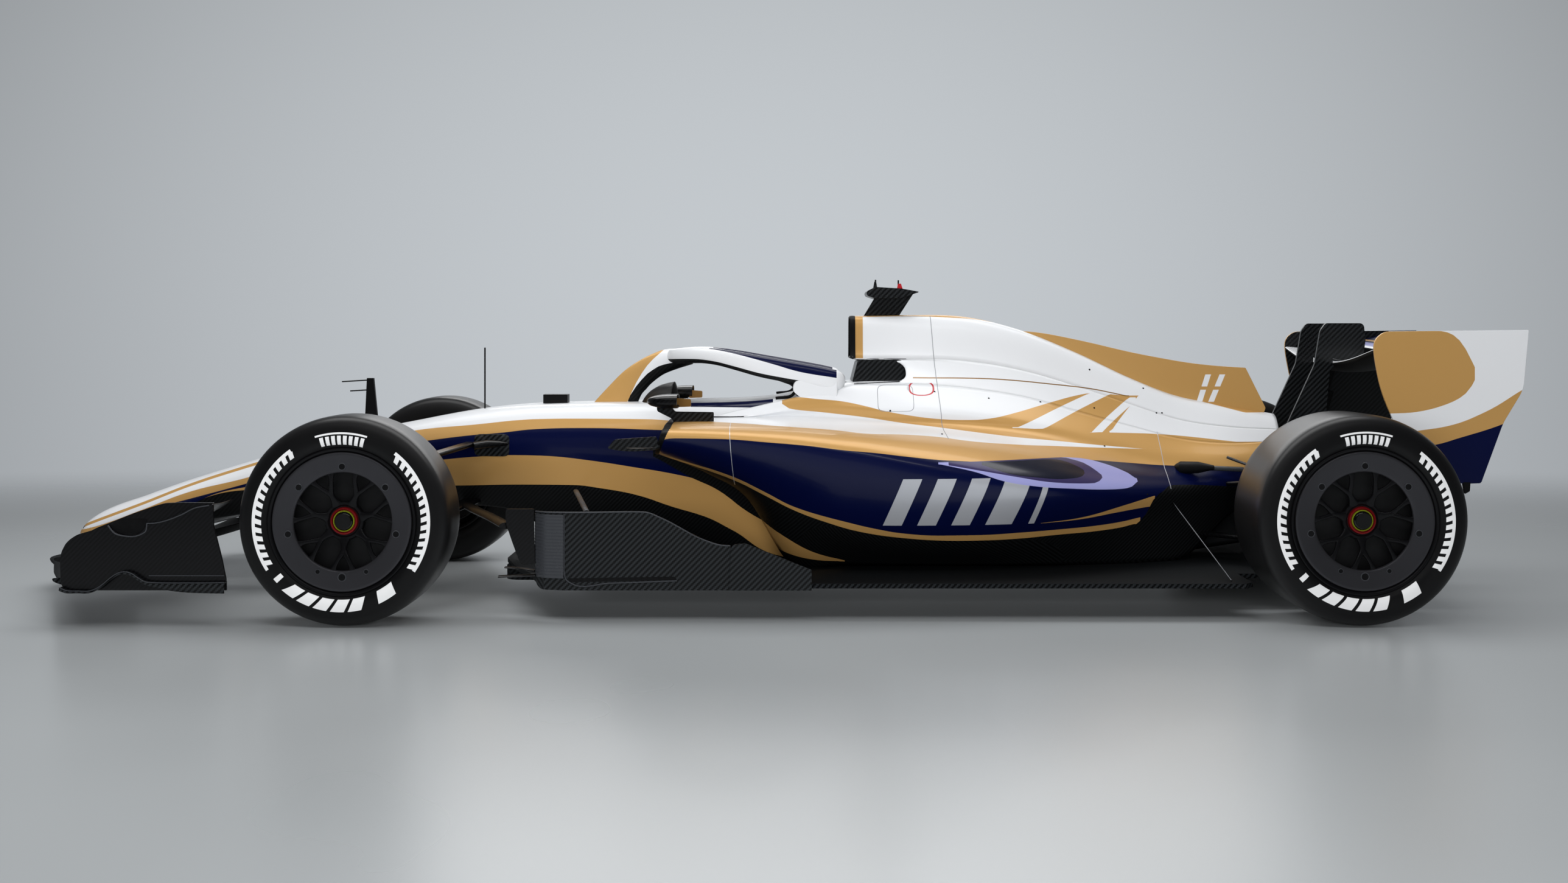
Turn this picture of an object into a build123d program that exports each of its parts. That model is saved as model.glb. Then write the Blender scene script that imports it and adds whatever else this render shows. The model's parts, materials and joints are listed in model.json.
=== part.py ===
"""Open wheel racing car with a head protection hoop, modelled in millimetres.

Frame: +X runs aft along the car, +Y to its right-hand side, +Z up. The origin is on the
ground, at the middle of the car's length and width. Stations along the body are tables whose
columns are named above each one. Half widths are given once and mirrored.
"""

import os
from math import cos, radians, sin

from build123d import *

# ---- overall ---------------------------------------------------------------------------
half_length = 2741.0  # from the origin forward to the front wing's tip
half_track = 950.0  # from the middle of the car to a tyre's outer wall
wheelbase = 3400.0
front_axle_x = -1378.0
rear_axle_x = front_axle_x + wheelbase
drawn_rear_axle_x = 2022.0  # where the tables of stations put the rear axle
seat_gap = 0.3  # left between pieces that lie against each other
running_gap = 0.06  # between a pin and its eye, on the radius

# ---- wheels ----------------------------------------------------------------------------
front_radius = 353.0
rear_radius = 355.0
front_width = 280.0
rear_width = 375.0
bead_radius = 229.0  # 18 inch rim
tyre_wall = 14.0
rim_wall = 7.0
spoke_count = 7
spoke_depth = 26.0
ring_inner_radius = 155.0
hub_radius = 66.0
nut_radius = 44.0
cover_hole_radius = 9.0
cover_hole_circle = 181.0
axle_radius = 26.0
rim_set_in = 12.0  # of the rim's outer face from the tyre's outer wall
bead_set_in = 16.0  # of the rim's inner edge from the tyre's inner wall
drum_radius = 192.0
drum_wall = 5.0
drum_set_back = 72.0  # from the tyre's outer wall to the drum's outer face
tyre_clearance = 30.0  # between the floor's tail and a rear tyre
rear_upright_y = half_track - 310.0

# ---- body ------------------------------------------------------------------------------
floor_top = 126.0
floor_thickness = 16.0
floor_edge_y = half_track - 160.0
step_half = 250.0  # the stepped centre of the floor
step_bottom = 60.0
plank_half = 150.0
plank_thickness = 10.0
cell_rear_x = 560.0
cell_front_x = front_axle_x - 182.0
cell_wall = 28.0
cover_tail_x = rear_axle_x - 32.0
stretch_end_x = 1400.0  # drawn stations behind this move with the rear axle
hoop_width = 46.0
hoop_height = 62.0

# ---- steering --------------------------------------------------------------------------
kingpin_y = half_track - 150.0
pin_radius = 8.0
eye_radius = 22.0
eye_height = 24.0
upper_eye_z = 470.0
lower_eye_z = 225.0
steering_arm = 130.0  # from the kingpin forward to the track rod
track_rod_z = 400.0
track_rod_radius = 13.0
wheel_hub_x = -330.0
wheel_hub_z = 615.0
wheel_rake = 15.0  # degrees that the steering column leans

parts = {}


def keep(name, solid):
    """Labels a finished piece and keeps it for the export."""
    solid.label = name
    parts[name] = solid
    return solid


def mirrored(half):
    """A closed outline from its right-hand points, listed from the bottom up."""
    return half + [(-y, z) for y, z in reversed(half)]


def aft(x):
    """Where a drawn station behind the cell goes. Near the rear axle it moves with the axle, and
    from there forward to the cell the movement dies away evenly."""
    share = (x - cell_rear_x) / (stretch_end_x - cell_rear_x)
    return x + (rear_axle_x - drawn_rear_axle_x) * min(max(share, 0.0), 1.0)


def carried(outline):
    """A drawn outline in side view, with each point at its station."""
    return [(aft(x), z) for x, z in outline]


def ring(x, points, radii):
    """One filleted section across the car at x."""
    with BuildSketch(Plane.YZ.offset(x)) as section:
        with BuildLine():
            FilletPolyline(*points, radius=radii, close=True)
        make_face()
    return section.sketch


def side_plate(points, low_y, high_y, radii=0):
    """A plate with its outline in side view, between two planes along the car."""
    with BuildPart() as plate:
        with BuildSketch(Plane.XZ.offset(-low_y)):
            with BuildLine():
                FilletPolyline(*points, radius=radii, close=True)
            make_face()
        extrude(amount=-(high_y - low_y))
    return plate.part


def block(low, high):
    """A plain box between two corners."""
    size = [b - a for a, b in zip(low, high)]
    middle = [(a + b) / 2 for a, b in zip(low, high)]
    with BuildPart() as box:
        with Locations(tuple(middle)):
            Box(*size)
    return box.part


def rod(start, end, chord, thickness):
    """A streamlined strut between two points, its chord lying along the car."""
    run = Vector(*end) - Vector(*start)
    with BuildPart() as strut:
        with BuildSketch(Plane(origin=start, x_dir=(1, 0, 0), z_dir=run)):
            SlotOverall(chord, thickness)
        extrude(amount=run.length)
    return strut.part


def upright_post(x, y, low_z, high_z, radius):
    """A round vertical post."""
    with BuildPart() as post:
        with BuildSketch(Plane.XY.offset(low_z)):
            with Locations((x, y)):
                Circle(radius)
        extrude(amount=high_z - low_z)
    return post.part


def cross_bar(x, z, low_y, high_y, radius):
    """A round bar across the car."""
    with BuildPart() as bar:
        with BuildSketch(Plane.XZ.offset(-low_y)):
            with Locations((x, z)):
                Circle(radius)
        extrude(amount=-(high_y - low_y))
    return bar.part


def both_sides(solid):
    """A piece and its mirror image across the middle of the car."""
    with BuildPart() as pair:
        add(solid)
        mirror(about=Plane.XZ)
    return pair.part


def join(*solids):
    """Pieces fused into one part."""
    with BuildPart() as whole:
        for solid in solids:
            add(solid)
    return whole.part


def cut(solid, *tools):
    """A piece less the room that others take."""
    with BuildPart() as rest:
        add(solid)
        for tool in tools:
            add(tool, mode=Mode.SUBTRACT)
    return rest.part


# ---- survival cell and nose ------------------------------------------------------------
# Columns: x, bottom half width, bottom z, waist half width, waist z, top half width, top z
CELL = [
    (cell_front_x, 105, 352, 168, 500, 105, 598),
    (front_axle_x, 112, 336, 200, 520, 120, 633),
    (front_axle_x + 308, 120, 322, 232, 560, 150, 688),
    (front_axle_x + 418, 130, 316, 242, 570, 165, 700),
    (-640, 150, floor_top, 268, 580, 200, 713),
    (-300, 205, floor_top, 295, 560, 232, 718),
    (60, 235, floor_top, 302, 560, 245, 735),
    (330, 240, floor_top, 305, 600, 220, 792),
    (cell_rear_x, 240, floor_top, 305, 620, 215, 800),
]
NOSE = [
    (111 - half_length, 62, 194, 70, 207, 50, 222),
    (181 - half_length, 80, 205, 96, 240, 66, 276),
    (400 - half_length, 84, 232, 118, 310, 76, 364),
    (795 - half_length, 92, 292, 146, 420, 92, 492),
    (cell_front_x - seat_gap, 105, 352, 168, 500, 105, 598),
]
cell_radii = [24, 90, 48]  # at the bottom, waist and top corners
cavity_radii = [10, 60, 24]
nose_shares = [0.0976, 0.366, 0.195]  # the same corners, as shares of a section's height


def hull(stations, corner_radii, shrink=0.0, shares=None):
    """A ruled loft through six-cornered sections, each drawn in by the shrink."""
    with BuildPart() as body:
        for x, low_y, low_z, waist_y, waist_z, top_y, top_z in stations:
            rounding = [share * (top_z - low_z) for share in shares] if shares else corner_radii
            radii = rounding + rounding[::-1]
            half = [
                (low_y - shrink, low_z + shrink),
                (waist_y - shrink, waist_z),
                (top_y - shrink, top_z - shrink),
            ]
            add(ring(x, mirrored(half), radii))
        loft(ruled=True)
    return body.part


def cell_top(x):
    """The height of the cell's top behind the cockpit."""
    (front_x, *_, front_z), (rear_x, *_, rear_z) = CELL[-2:]
    return front_z + (rear_z - front_z) * (x - front_x) / (rear_x - front_x)


cockpit_front_x = -455.0
cockpit_rear_x = 335.0
cockpit_half = 228.0
cell_outer = hull(CELL, cell_radii)


def survival_cell():
    """The hollow cell: its cavity, the cockpit's mouth and the passage for the steering rack."""
    cavity = hull(CELL[1:-1], cavity_radii, shrink=cell_wall)
    with BuildPart() as mouth:
        with BuildSketch(Plane.XY.offset(560)):
            with BuildLine():
                FilletPolyline(
                    (cockpit_front_x, -150),
                    (cockpit_front_x + 170, -cockpit_half),
                    (cockpit_rear_x, -cockpit_half + 20),
                    (cockpit_rear_x, cockpit_half - 20),
                    (cockpit_front_x + 170, cockpit_half),
                    (cockpit_front_x, 150),
                    radius=45,
                    close=True,
                )
            make_face()
        extrude(amount=400)
    rack_bush = cross_bar(
        front_axle_x - steering_arm, track_rod_z, -400, 400, track_rod_radius + running_gap
    )
    return cut(cell_outer, cavity, mouth.part, rack_bush)


keep("survival_cell", survival_cell())
keep("nose_cone", hull(NOSE, None, shares=nose_shares))

# ---- floor, plank and diffuser ---------------------------------------------------------
floor_bottom = floor_top - floor_thickness
floor_front_x = -960.0
floor_rear_x = aft(1700.0)
floor_corner_x = aft(1668.0)
floor_tail_x = aft(1850.0)
tail_half = half_track - rear_width - tyre_clearance  # floor and diffuser between the rear tyres
diffuser_rear_x = aft(2370.0)
diffuser_rise = 190.0


def floor():
    """The wide plate, its stepped centre and the raised lips along its edges."""
    half = [
        (floor_front_x, 120),
        (-900, 330),
        (-800, 560),
        (-752, floor_edge_y - 70),
        (-600, floor_edge_y),
        (floor_corner_x, floor_edge_y),
        (floor_rear_x, floor_edge_y - 40),
        (floor_rear_x, tail_half),
        (floor_tail_x, tail_half),
    ]
    outline = half + [(x, -y) for x, y in reversed(half)]
    with BuildPart() as plate:
        with BuildSketch(Plane.XY.offset(floor_bottom)):
            with BuildLine():
                Polyline(*outline, close=True)
            make_face()
        extrude(amount=floor_thickness)
        with BuildSketch(Plane.XY.offset(step_bottom)):
            with Locations(((floor_front_x + floor_tail_x) / 2, 0)):
                RectangleRounded(floor_tail_x - floor_front_x - 20, 2 * step_half, 60)
        extrude(amount=floor_bottom - step_bottom)
    return plate.part


def diffuser():
    """The ramp behind the floor with its side walls and strakes."""
    ramp = [
        (floor_tail_x + seat_gap, floor_bottom),
        (aft(2060), floor_bottom + 50),
        (diffuser_rear_x, floor_bottom + diffuser_rise),
        (diffuser_rear_x, floor_bottom + diffuser_rise + 12),
        (aft(2055), floor_bottom + 64),
        (floor_tail_x + seat_gap, floor_top),
    ]
    with BuildPart() as tail:
        add(side_plate(ramp, -tail_half, tail_half))
        wall = [
            (floor_tail_x + seat_gap, floor_top),
            (floor_tail_x + seat_gap, step_bottom + 20),
            (diffuser_rear_x, step_bottom + 60),
            (diffuser_rear_x, floor_bottom + diffuser_rise + 6),
            (aft(2058), floor_bottom + 57),
        ]
        for y in (-tail_half, -330, -150, 140, 320, tail_half - 10):
            add(side_plate(wall, y, y + 10))
    return tail.part


keep("floor", floor())
keep("diffuser", diffuser())
keep(
    "plank",
    block(
        (floor_front_x + 40, -plank_half, step_bottom - plank_thickness),
        (floor_rear_x, plank_half, step_bottom),
    ),
)

# ---- sidepods --------------------------------------------------------------------------
# Columns: x, inner y, foot y, foot z, belly y, belly z, waist y, waist z, top y, top z, inner top z
PODS = [
    (-344, 312, 345, 545, 560, 550, 700, 602, 668, 660, 664),
    (-50, 312, 350, 360, 600, 447, 738, 580, 690, 655, 668),
    (300, 312, 365, floor_top, 606, 298, 750, 524, 670, 626, 655),
    (700, 312, 365, floor_top, 566, 248, 720, 466, 600, 584, 630),
    (1100, 280, 330, floor_top, 462, 256, 596, 424, 470, 505, 560),
    (1430, 226, 262, floor_top, 318, 290, 372, 390, 320, 440, 462),
]
inlet_depth = 240.0


def sidepod():
    """The right-hand pod: a ruled loft with its inlet sunk into the front face."""
    with BuildPart() as pod:
        for x, in_y, foot_y, foot_z, bel_y, bel_z, waist_y, waist_z, top_y, top_z, in_z in PODS:
            corners = [
                (in_y, foot_z),
                (foot_y, foot_z),
                (bel_y, bel_z),
                (waist_y, waist_z),
                (top_y, top_z),
                (in_y, in_z),
            ]
            add(ring(aft(x), corners, [0, 4, 20, 22, 20, 0]))
        loft(ruled=True)
        with BuildSketch(Plane.YZ.offset(PODS[0][0])):
            with BuildLine():
                FilletPolyline(
                    (345, 572), (640, 578), (672, 606), (645, 642), (345, 644), radius=8, close=True
                )
            make_face()
        extrude(amount=inlet_depth, mode=Mode.SUBTRACT)
    return pod.part


keep("sidepods", both_sides(sidepod()))

# ---- power unit and gearbox ------------------------------------------------------------
engine_rear_x = aft(1000.0)
keep(
    "power_unit",
    block((cell_rear_x + seat_gap, -200, floor_top + seat_gap), (engine_rear_x, 200, 594)),
)
gearbox_half = 95.0
gearbox_top = 400.0


def gearbox():
    """The tapering case behind the engine, which carries the rear arms and the crash structure."""
    with BuildPart() as case:
        for x, half, low_z, high_z in (
            (engine_rear_x + seat_gap, 150, floor_top + seat_gap, gearbox_top),
            (aft(1500), gearbox_half, floor_top + seat_gap, gearbox_top),
            (aft(1850), gearbox_half, 180, gearbox_top),
            (aft(1990), 84, 240, 403),
            (aft(2080), 70, 300, 440),
        ):
            add(ring(x, mirrored([(half, low_z), (half, high_z)]), 20))
        loft(ruled=True)
    return case.part


keep("gearbox", gearbox())
starter_radius = 14.0
starter_depth = 60.0
crash_rear_x = aft(2560.0)
starter_z = 362.0


def crash_structure():
    """The tapering rear beam with a round socket for the starter shaft in its end."""
    with BuildPart() as beam:
        for x, half, low_z, high_z in (
            (aft(2080) + seat_gap, 64, 320, 440),
            (crash_rear_x, 42, 340, 420),
        ):
            add(ring(x, mirrored([(half, low_z), (half, high_z)]), 18))
        loft(ruled=True)
        with BuildSketch(Plane.YZ.offset(crash_rear_x)):
            with Locations((0, starter_z)):
                Circle(starter_radius)
        extrude(amount=-starter_depth, mode=Mode.SUBTRACT)
    return beam.part


keep("crash_structure", crash_structure())
keep(
    "rain_light",
    block((crash_rear_x + seat_gap, -26, 382), (crash_rear_x + 24, 26, 418)),
)

# ---- engine cover, intake and camera ---------------------------------------------------
# Columns: x, low half, low z, shoulder half, shoulder z, neck half, neck z, top half, top z
COVER = [
    (cell_rear_x + seat_gap, 250, 600, 305, 690, 165, 850, 66, 1050),
    (800, 250, 600, 290, 676, 150, 830, 60, 1042),
    (1000, 240, 600, 268, 650, 132, 800, 50, 994),
    (1220, 215, 520, 238, 600, 112, 745, 42, 906),
    (1400, 190, 440, 212, 560, 104, 690, 36, 822),
    (1600, 165, 404, 186, 500, 98, 636, 34, 742),
    (1800, 145, 404, 166, 480, 92, 610, 32, 702),
    (1990, 112, 420, 136, 500, 82, 590, 30, 668),
]
duct_low_z = 880.0
duct_top_z = 1047.0
DUCT = [  # x, half width, low z, high z
    (352, 116, duct_low_z, duct_top_z),
    (382, 118, duct_low_z, duct_top_z),
    (640, 100, duct_low_z, duct_top_z),
]
intake_depth = 160.0
fin_thickness = 8.0
exhaust_radius = 54.0
exhaust_z = 540.0
exhaust_bore = exhaust_radius + 6.0  # the hole for it in the end of the cover
exhaust_entry = 120.0  # the depth of that hole
exhaust_length = 190.0
exhaust_wall = 4.0


def engine_cover():
    """The cover over the engine, the air duct that leads to it and the fin on its spine."""
    with BuildPart() as main:
        for x, low_y, low_z, sh_y, sh_z, neck_y, neck_z, top_y, top_z in COVER:
            half = [(low_y, low_z), (sh_y, sh_z), (neck_y, neck_z), (top_y, top_z)]
            add(ring(aft(x), mirrored(half), [16, 40, 50, 22, 22, 50, 40, 16]))
        loft(ruled=True)
    with BuildPart() as duct:
        for x, half, low_z, high_z in DUCT:
            outline = mirrored([(half * 0.8, low_z), (half, low_z + 50), (half * 0.55, high_z)])
            add(ring(x, outline, 22))
        loft(ruled=True)
    fin_outline = [
        (940, 1000),
        (1070, 990),
        (1259, 948),
        (1435, 905),
        (1646, 866),
        (1763, 853),
        (1879, 846),
        (1957, 690),
        (1940, 660),
        (1500, 740),
        (1150, 900),
    ]
    fin = side_plate(carried(fin_outline), -fin_thickness / 2, fin_thickness / 2)
    with BuildPart() as whole:
        add(main.part)
        add(duct.part)
        add(fin)
        with BuildSketch(Plane.YZ.offset(DUCT[0][0])):
            with BuildLine():
                FilletPolyline(
                    *mirrored([(82, 902), (100, 940), (50, 1032)]), radius=16, close=True
                )
            make_face()
        extrude(amount=intake_depth, mode=Mode.SUBTRACT)
        with BuildSketch(Plane.YZ.offset(cover_tail_x)):
            with Locations((0, exhaust_z)):
                Circle(exhaust_bore)
        extrude(amount=-exhaust_entry, mode=Mode.SUBTRACT)
    return whole.part


keep("engine_cover", engine_cover())
hoop_base_x = (350.0, 556.0)
hoop_base_half = 120.0
keep(
    "hoop_base",
    side_plate(
        [
            (hoop_base_x[0], cell_top(hoop_base_x[0]) + seat_gap),
            (hoop_base_x[0] + 22, duct_low_z - seat_gap),
            (hoop_base_x[1], duct_low_z - seat_gap),
            (hoop_base_x[1], cell_top(hoop_base_x[1]) + seat_gap),
        ],
        -hoop_base_half,
        hoop_base_half,
        radii=[6, 20, 34, 34],
    ),
)


def exhaust():
    """The tail pipe under the end of the cover."""
    root = Plane.YZ.offset(cover_tail_x - exhaust_entry + 2)
    with BuildPart() as pipe:
        with BuildSketch(root):
            with Locations((0, exhaust_z)):
                Circle(exhaust_radius)
                Circle(exhaust_radius - exhaust_wall, mode=Mode.SUBTRACT)
        extrude(amount=exhaust_length)
        with BuildSketch(root):
            with Locations((0, exhaust_z)):
                Circle(exhaust_bore - seat_gap)
        extrude(amount=6)
    return pipe.part


keep("exhaust", exhaust())


def camera_pod():
    """The camera wing on its pylon above the air duct."""
    foot_z = duct_top_z + seat_gap
    pylon = side_plate([(400, foot_z), (450, 1130), (592, 1134), (536, foot_z)], -14, 14)
    wing = side_plate(
        [(388, 1130), (440, 1113), (540, 1115), (612, 1138), (540, 1151), (440, 1157)],
        -84,
        84,
        radii=[12, 30, 40, 2, 40, 20],
    )
    aerials = [upright_post(x, y, 1140, 1186, 3) for x, y in ((444, -30), (536, 30))]
    return join(pylon, wing, *aerials)


keep("camera_pod", camera_pod())

# ---- halo ------------------------------------------------------------------------------
hoop_slope = 11.0  # degrees that the hoop's plane drops towards the rear
hoop_apex = (-345.0, 0.0, 905.0)
hoop_legs = [(14, 120), (150, 222), (330, 262), (640, 292)]  # along the slope, across
hoop_bends = [90, 150, 250]
pillar_half = 18.0


def halo():
    """The hoop round the cockpit, its centre pillar and its rear feet."""
    plane = Plane(
        origin=hoop_apex,
        x_dir=(cos(radians(hoop_slope)), 0, -sin(radians(hoop_slope))),
        z_dir=(sin(radians(hoop_slope)), 0, cos(radians(hoop_slope))),
    )
    path = hoop_legs[::-1] + [(u, -v) for u, v in hoop_legs]
    with BuildPart() as bow:
        with BuildLine(plane) as route:
            FilletPolyline(*path, radius=hoop_bends[::-1] + hoop_bends)
        start = route.line @ 0
        with BuildSketch(Plane(origin=start, x_dir=plane.z_dir, z_dir=route.line % 0)):
            SlotOverall(hoop_height, hoop_width)
        sweep(path=route.line)
    pillar = side_plate(
        [
            (-634, 690),
            (-634, 716),
            (-541, 800),
            (-452, 868),
            (-372, 912),
            (-330, 924),
            (-320, 872),
            (-362, 852),
            (-440, 806),
            (-500, 716),
            (-500, 690),
        ],
        -pillar_half,
        pillar_half,
    )
    feet = side_plate(
        [(225, 740), (215, 815), (300, 806), (345, 798), (345, 740)], 250, 300
    )
    body = join(bow.part, pillar, both_sides(feet))
    return cut(body, cell_outer)


keep("halo", halo())

# ---- cockpit ---------------------------------------------------------------------------
cell_floor = floor_top + cell_wall
seat_half = 166.0


def seat():
    """The reclined moulded seat: pan, back and side walls."""
    pan = [
        (-330, 230),
        (-300, cell_floor + seat_gap),
        (60, cell_floor + seat_gap),
        (250, 560),
        (222, 572),
        (40, 182),
        (-290, 182),
        (-312, 240),
    ]
    wall = [(-200, 182), (-160, 300), (60, 420), (225, 565), (60, 182)]
    side = side_plate(wall, seat_half - 24, seat_half)
    return join(side_plate(pan, -seat_half, seat_half), both_sides(side))


keep("seat", seat())


def headrest():
    """The padded collar round the back of the cockpit."""
    outer = [(90, 207), (cockpit_rear_x - 2, 205), (cockpit_rear_x - 2, -205), (90, -207)]
    inner = [(80, 150), (270, 150), (270, -150), (80, -150)]
    with BuildPart() as collar:
        with BuildSketch(Plane.XY.offset(610)):
            with BuildLine():
                Polyline(*outer, close=True)
            make_face()
            with BuildLine():
                FilletPolyline(*inner, radius=[0, 60, 60, 0], close=True)
            make_face(mode=Mode.SUBTRACT)
        extrude(amount=120)
    return cut(collar.part, parts["survival_cell"])


keep("headrest", headrest())

column_axis = Vector(cos(radians(wheel_rake)), 0, sin(radians(wheel_rake)))
hub_point = Vector(wheel_hub_x, 0, wheel_hub_z)
column_radius = 16.0
column_entry = 14.0  # how far the column's end goes into the wheel's hub
boss_depth = 12.0


def steering_wheel():
    """The squared yoke with its two grips."""
    face = Plane(origin=hub_point, x_dir=(0, 1, 0), z_dir=column_axis)
    with BuildPart() as wheel:
        with BuildSketch(face):
            RectangleRounded(270, 150, 40)
            with Locations((-98, 0), (98, 0)):
                RectangleRounded(28, 84, 13, mode=Mode.SUBTRACT)
        extrude(amount=28)
        with BuildSketch(face):
            Circle(30)
        extrude(amount=-boss_depth)
        with BuildSketch(face.offset(-boss_depth)):
            Circle(column_radius + running_gap)
        extrude(amount=column_entry + 0.5, mode=Mode.SUBTRACT)
    return wheel.part


def steering_column():
    """The column from the front of the cell to its end inside the wheel's hub."""
    start = hub_point + column_axis * (column_entry - boss_depth)
    with BuildPart() as column:
        with BuildSketch(Plane(origin=start, z_dir=column_axis * -1)):
            Circle(column_radius)
        extrude(amount=420)
    return column.part


keep("steering_wheel", steering_wheel())


def column_with_bracket():
    """The column and the cross member that carries it between the cell's walls."""
    inner = hull(CELL[1:-1], cavity_radii, shrink=cell_wall + seat_gap)
    with BuildPart() as braced:
        add(block((-642, -280, 518), (-602, 280, 558)))
        add(inner, mode=Mode.INTERSECT)
        add(steering_column())
    return braced.part


keep("steering_column", column_with_bracket())

# ---- front wing ------------------------------------------------------------------------
endplate_y = half_track - 35.0
endplate_thickness = 9.0
footplate_reach = 45.0  # of the footplate inside the endplate
drawn_tip_x = -2741.0  # where the wing's tables put its tip and the end of its plates
drawn_plate_end_x = -1772.0
plate_end_x = front_axle_x - front_radius - 41.0  # the plates stop short of the front tyres


def ahead(x):
    """Where a drawn station of the front wing goes between its tip and the end of its plates."""
    share = (x - drawn_tip_x) / (drawn_plate_end_x - drawn_tip_x)
    return -half_length + share * (plate_end_x + half_length)


# Columns: y, leading x, leading z, trailing x, trailing z, thickness
MAIN_PLANE = [
    (0, -2741, 112, -2420, 158, 34),
    (430, -2546, 112, -2300, 160, 30),
    (endplate_y - seat_gap, -2318, 150, -2120, 190, 20),
]
FRONT_FLAPS = [
    [(150, -2430, 186, -2190, 268, 18), (endplate_y - seat_gap, -2138, 208, -1975, 292, 14)],
    [(170, -2185, 286, -1990, 352, 14), (endplate_y - seat_gap, -1975, 308, -1845, 380, 12)],
]


def spread(rows):
    """Stations on one side, repeated on the other."""
    left = [(-row[0],) + row[1:] for row in reversed(rows[1:])]
    return left + rows


def blade(stations, place):
    """A wing element lofted across the car through thin cambered sections. The place function
    says where each drawn station along the car goes."""
    with BuildPart() as wing:
        for y, drawn_lead_x, lead_z, drawn_trail_x, trail_z, thickness in stations:
            lead_x, trail_x = place(drawn_lead_x), place(drawn_trail_x)
            chord = trail_x - lead_x
            with BuildSketch(Plane.XZ.offset(-y)):
                with BuildLine():
                    nose = (lead_x, lead_z)
                    tail = (trail_x, trail_z)
                    under = (lead_x + chord * 0.45, (lead_z + trail_z) / 2 - thickness * 1.4)
                    upper = (lead_x + chord * 0.45, (lead_z + trail_z) / 2 - thickness * 0.4)
                    end = (trail_x, trail_z + 4)
                    lip = (lead_x, lead_z + thickness * 0.5)
                    ThreePointArc(nose, under, tail)
                    Line(tail, end)
                    ThreePointArc(end, upper, lip)
                    Line(lip, nose)
                make_face()
        loft(ruled=True)
    return wing.part


post_y = 52.0  # of the inner face of each post under the nose
post_thickness = 10.0


def front_wing():
    """The full-width lower element with the two posts that carry it from the nose."""
    plane = blade(spread(MAIN_PLANE), ahead)
    front_x, rear_x = 141 - half_length, 301 - half_length
    outline = [(front_x, 110), (front_x, 240), (rear_x, 280), (rear_x, 130)]
    post = side_plate(outline, post_y, post_y + post_thickness)
    posts = cut(both_sides(post), parts["nose_cone"])
    return join(plane, posts)


keep("front_wing", front_wing())
keep("front_flaps", both_sides(join(*[blade(rows, ahead) for rows in FRONT_FLAPS])))


def front_endplate():
    """The right-hand endplate with its footplate."""
    outline = [
        (-2296, 126),
        (-2324, 180),
        (-2316, 258),
        (-2154, 340),
        (-2017, 400),
        (-1949, 416),
        (-1807, 416),
        (-1778, 192),
        (-1772, 126),
    ]
    plate = side_plate(
        [(ahead(x), z) for x, z in outline],
        endplate_y,
        endplate_y + endplate_thickness,
        radii=[16, 24, 20, 60, 40, 20, 8, 20, 2],
    )
    inner_y, outer_y = endplate_y - footplate_reach, half_track - 4
    foot = block((ahead(-2260), inner_y, 128), (plate_end_x - 8, outer_y, 134))
    return join(plate, foot)


keep("front_endplates", both_sides(front_endplate()))

# ---- boards beside the floor -----------------------------------------------------------
board_thickness = 8.0


def wake_board():
    """The tall board at the floor's front corner and the shorter one behind it."""
    outline = [
        (-762, floor_bottom - 5),
        (-762, 368),
        (-420, 372),
        (-360, 366),
        (-150, 262),
        (-90, 256),
        (-90, floor_bottom - 5),
    ]
    board_y = floor_edge_y + 10
    prism = side_plate(outline, board_y - 200, board_y + 50, radii=[30, 6, 20, 60, 60, 6, 2])
    with BuildPart() as plan:
        with BuildSketch(Plane.XY.offset(floor_bottom - 10)):
            with BuildLine():
                Polyline(
                    (-80, board_y),
                    (-660, board_y),
                    (-730, board_y - 20),
                    (-765, board_y - 60),
                    (-759, board_y - 65),
                    (-726, board_y - 27),
                    (-658, board_y - board_thickness),
                    (-80, board_y - board_thickness),
                    close=True,
                )
            make_face()
        extrude(amount=400)
        add(prism, mode=Mode.INTERSECT)
    rear = side_plate(
        [
            (-96, floor_bottom - 4),
            (-88, 262),
            (-40, 266),
            (185, 176),
            (185, floor_bottom - 4),
        ],
        board_y + 4,
        board_y + 10,
        radii=[2, 20, 24, 4, 2],
    )
    stays = block((-640, floor_edge_y - 40, floor_top), (-600, board_y - 5, floor_top + 12))
    tie = block((60, floor_edge_y, floor_bottom), (100, board_y + 6, floor_top))
    ledge = block((-70, floor_edge_y, floor_bottom), (-30, board_y + 6, floor_top))
    return cut(join(plan.part, rear, stays, tie, ledge), parts["floor"])


keep("wake_boards", both_sides(wake_board()))

# ---- rear wing -------------------------------------------------------------------------
rear_plate_y = tail_half - 15.0
rear_plate_thickness = 10.0
REAR_MAIN = [
    (0, 2176, 862, 2430, 888, 30),
    (300, 2180, 880, 2430, 900, 28),
    (rear_plate_y - seat_gap, 2190, 918, 2430, 926, 22),
]
flap_side_gap = 6.0
flap_end_y = rear_plate_y - flap_side_gap
REAR_FLAP = [(0, 2424, 912, 2626, 992, 22), (flap_end_y, 2424, 936, 2626, 992, 18)]
flap_pivot = (aft(2596.0), 981.0)
flap_pin_radius = 4.0
flap_pin_entry = 22.0
rear_main = blade(spread(REAR_MAIN), aft)
keep("rear_wing", rear_main)


def rear_flap():
    """The upper element with a bored boss at each end for the pivot pins."""
    boss = cross_bar(*flap_pivot, flap_end_y - flap_pin_entry - 6, flap_end_y, 10)
    bore = cross_bar(
        *flap_pivot, flap_end_y - flap_pin_entry, flap_end_y + 1, flap_pin_radius + running_gap
    )
    return cut(join(blade(spread(REAR_FLAP), aft), both_sides(boss)), both_sides(bore))


keep("rear_flap", rear_flap())


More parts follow.
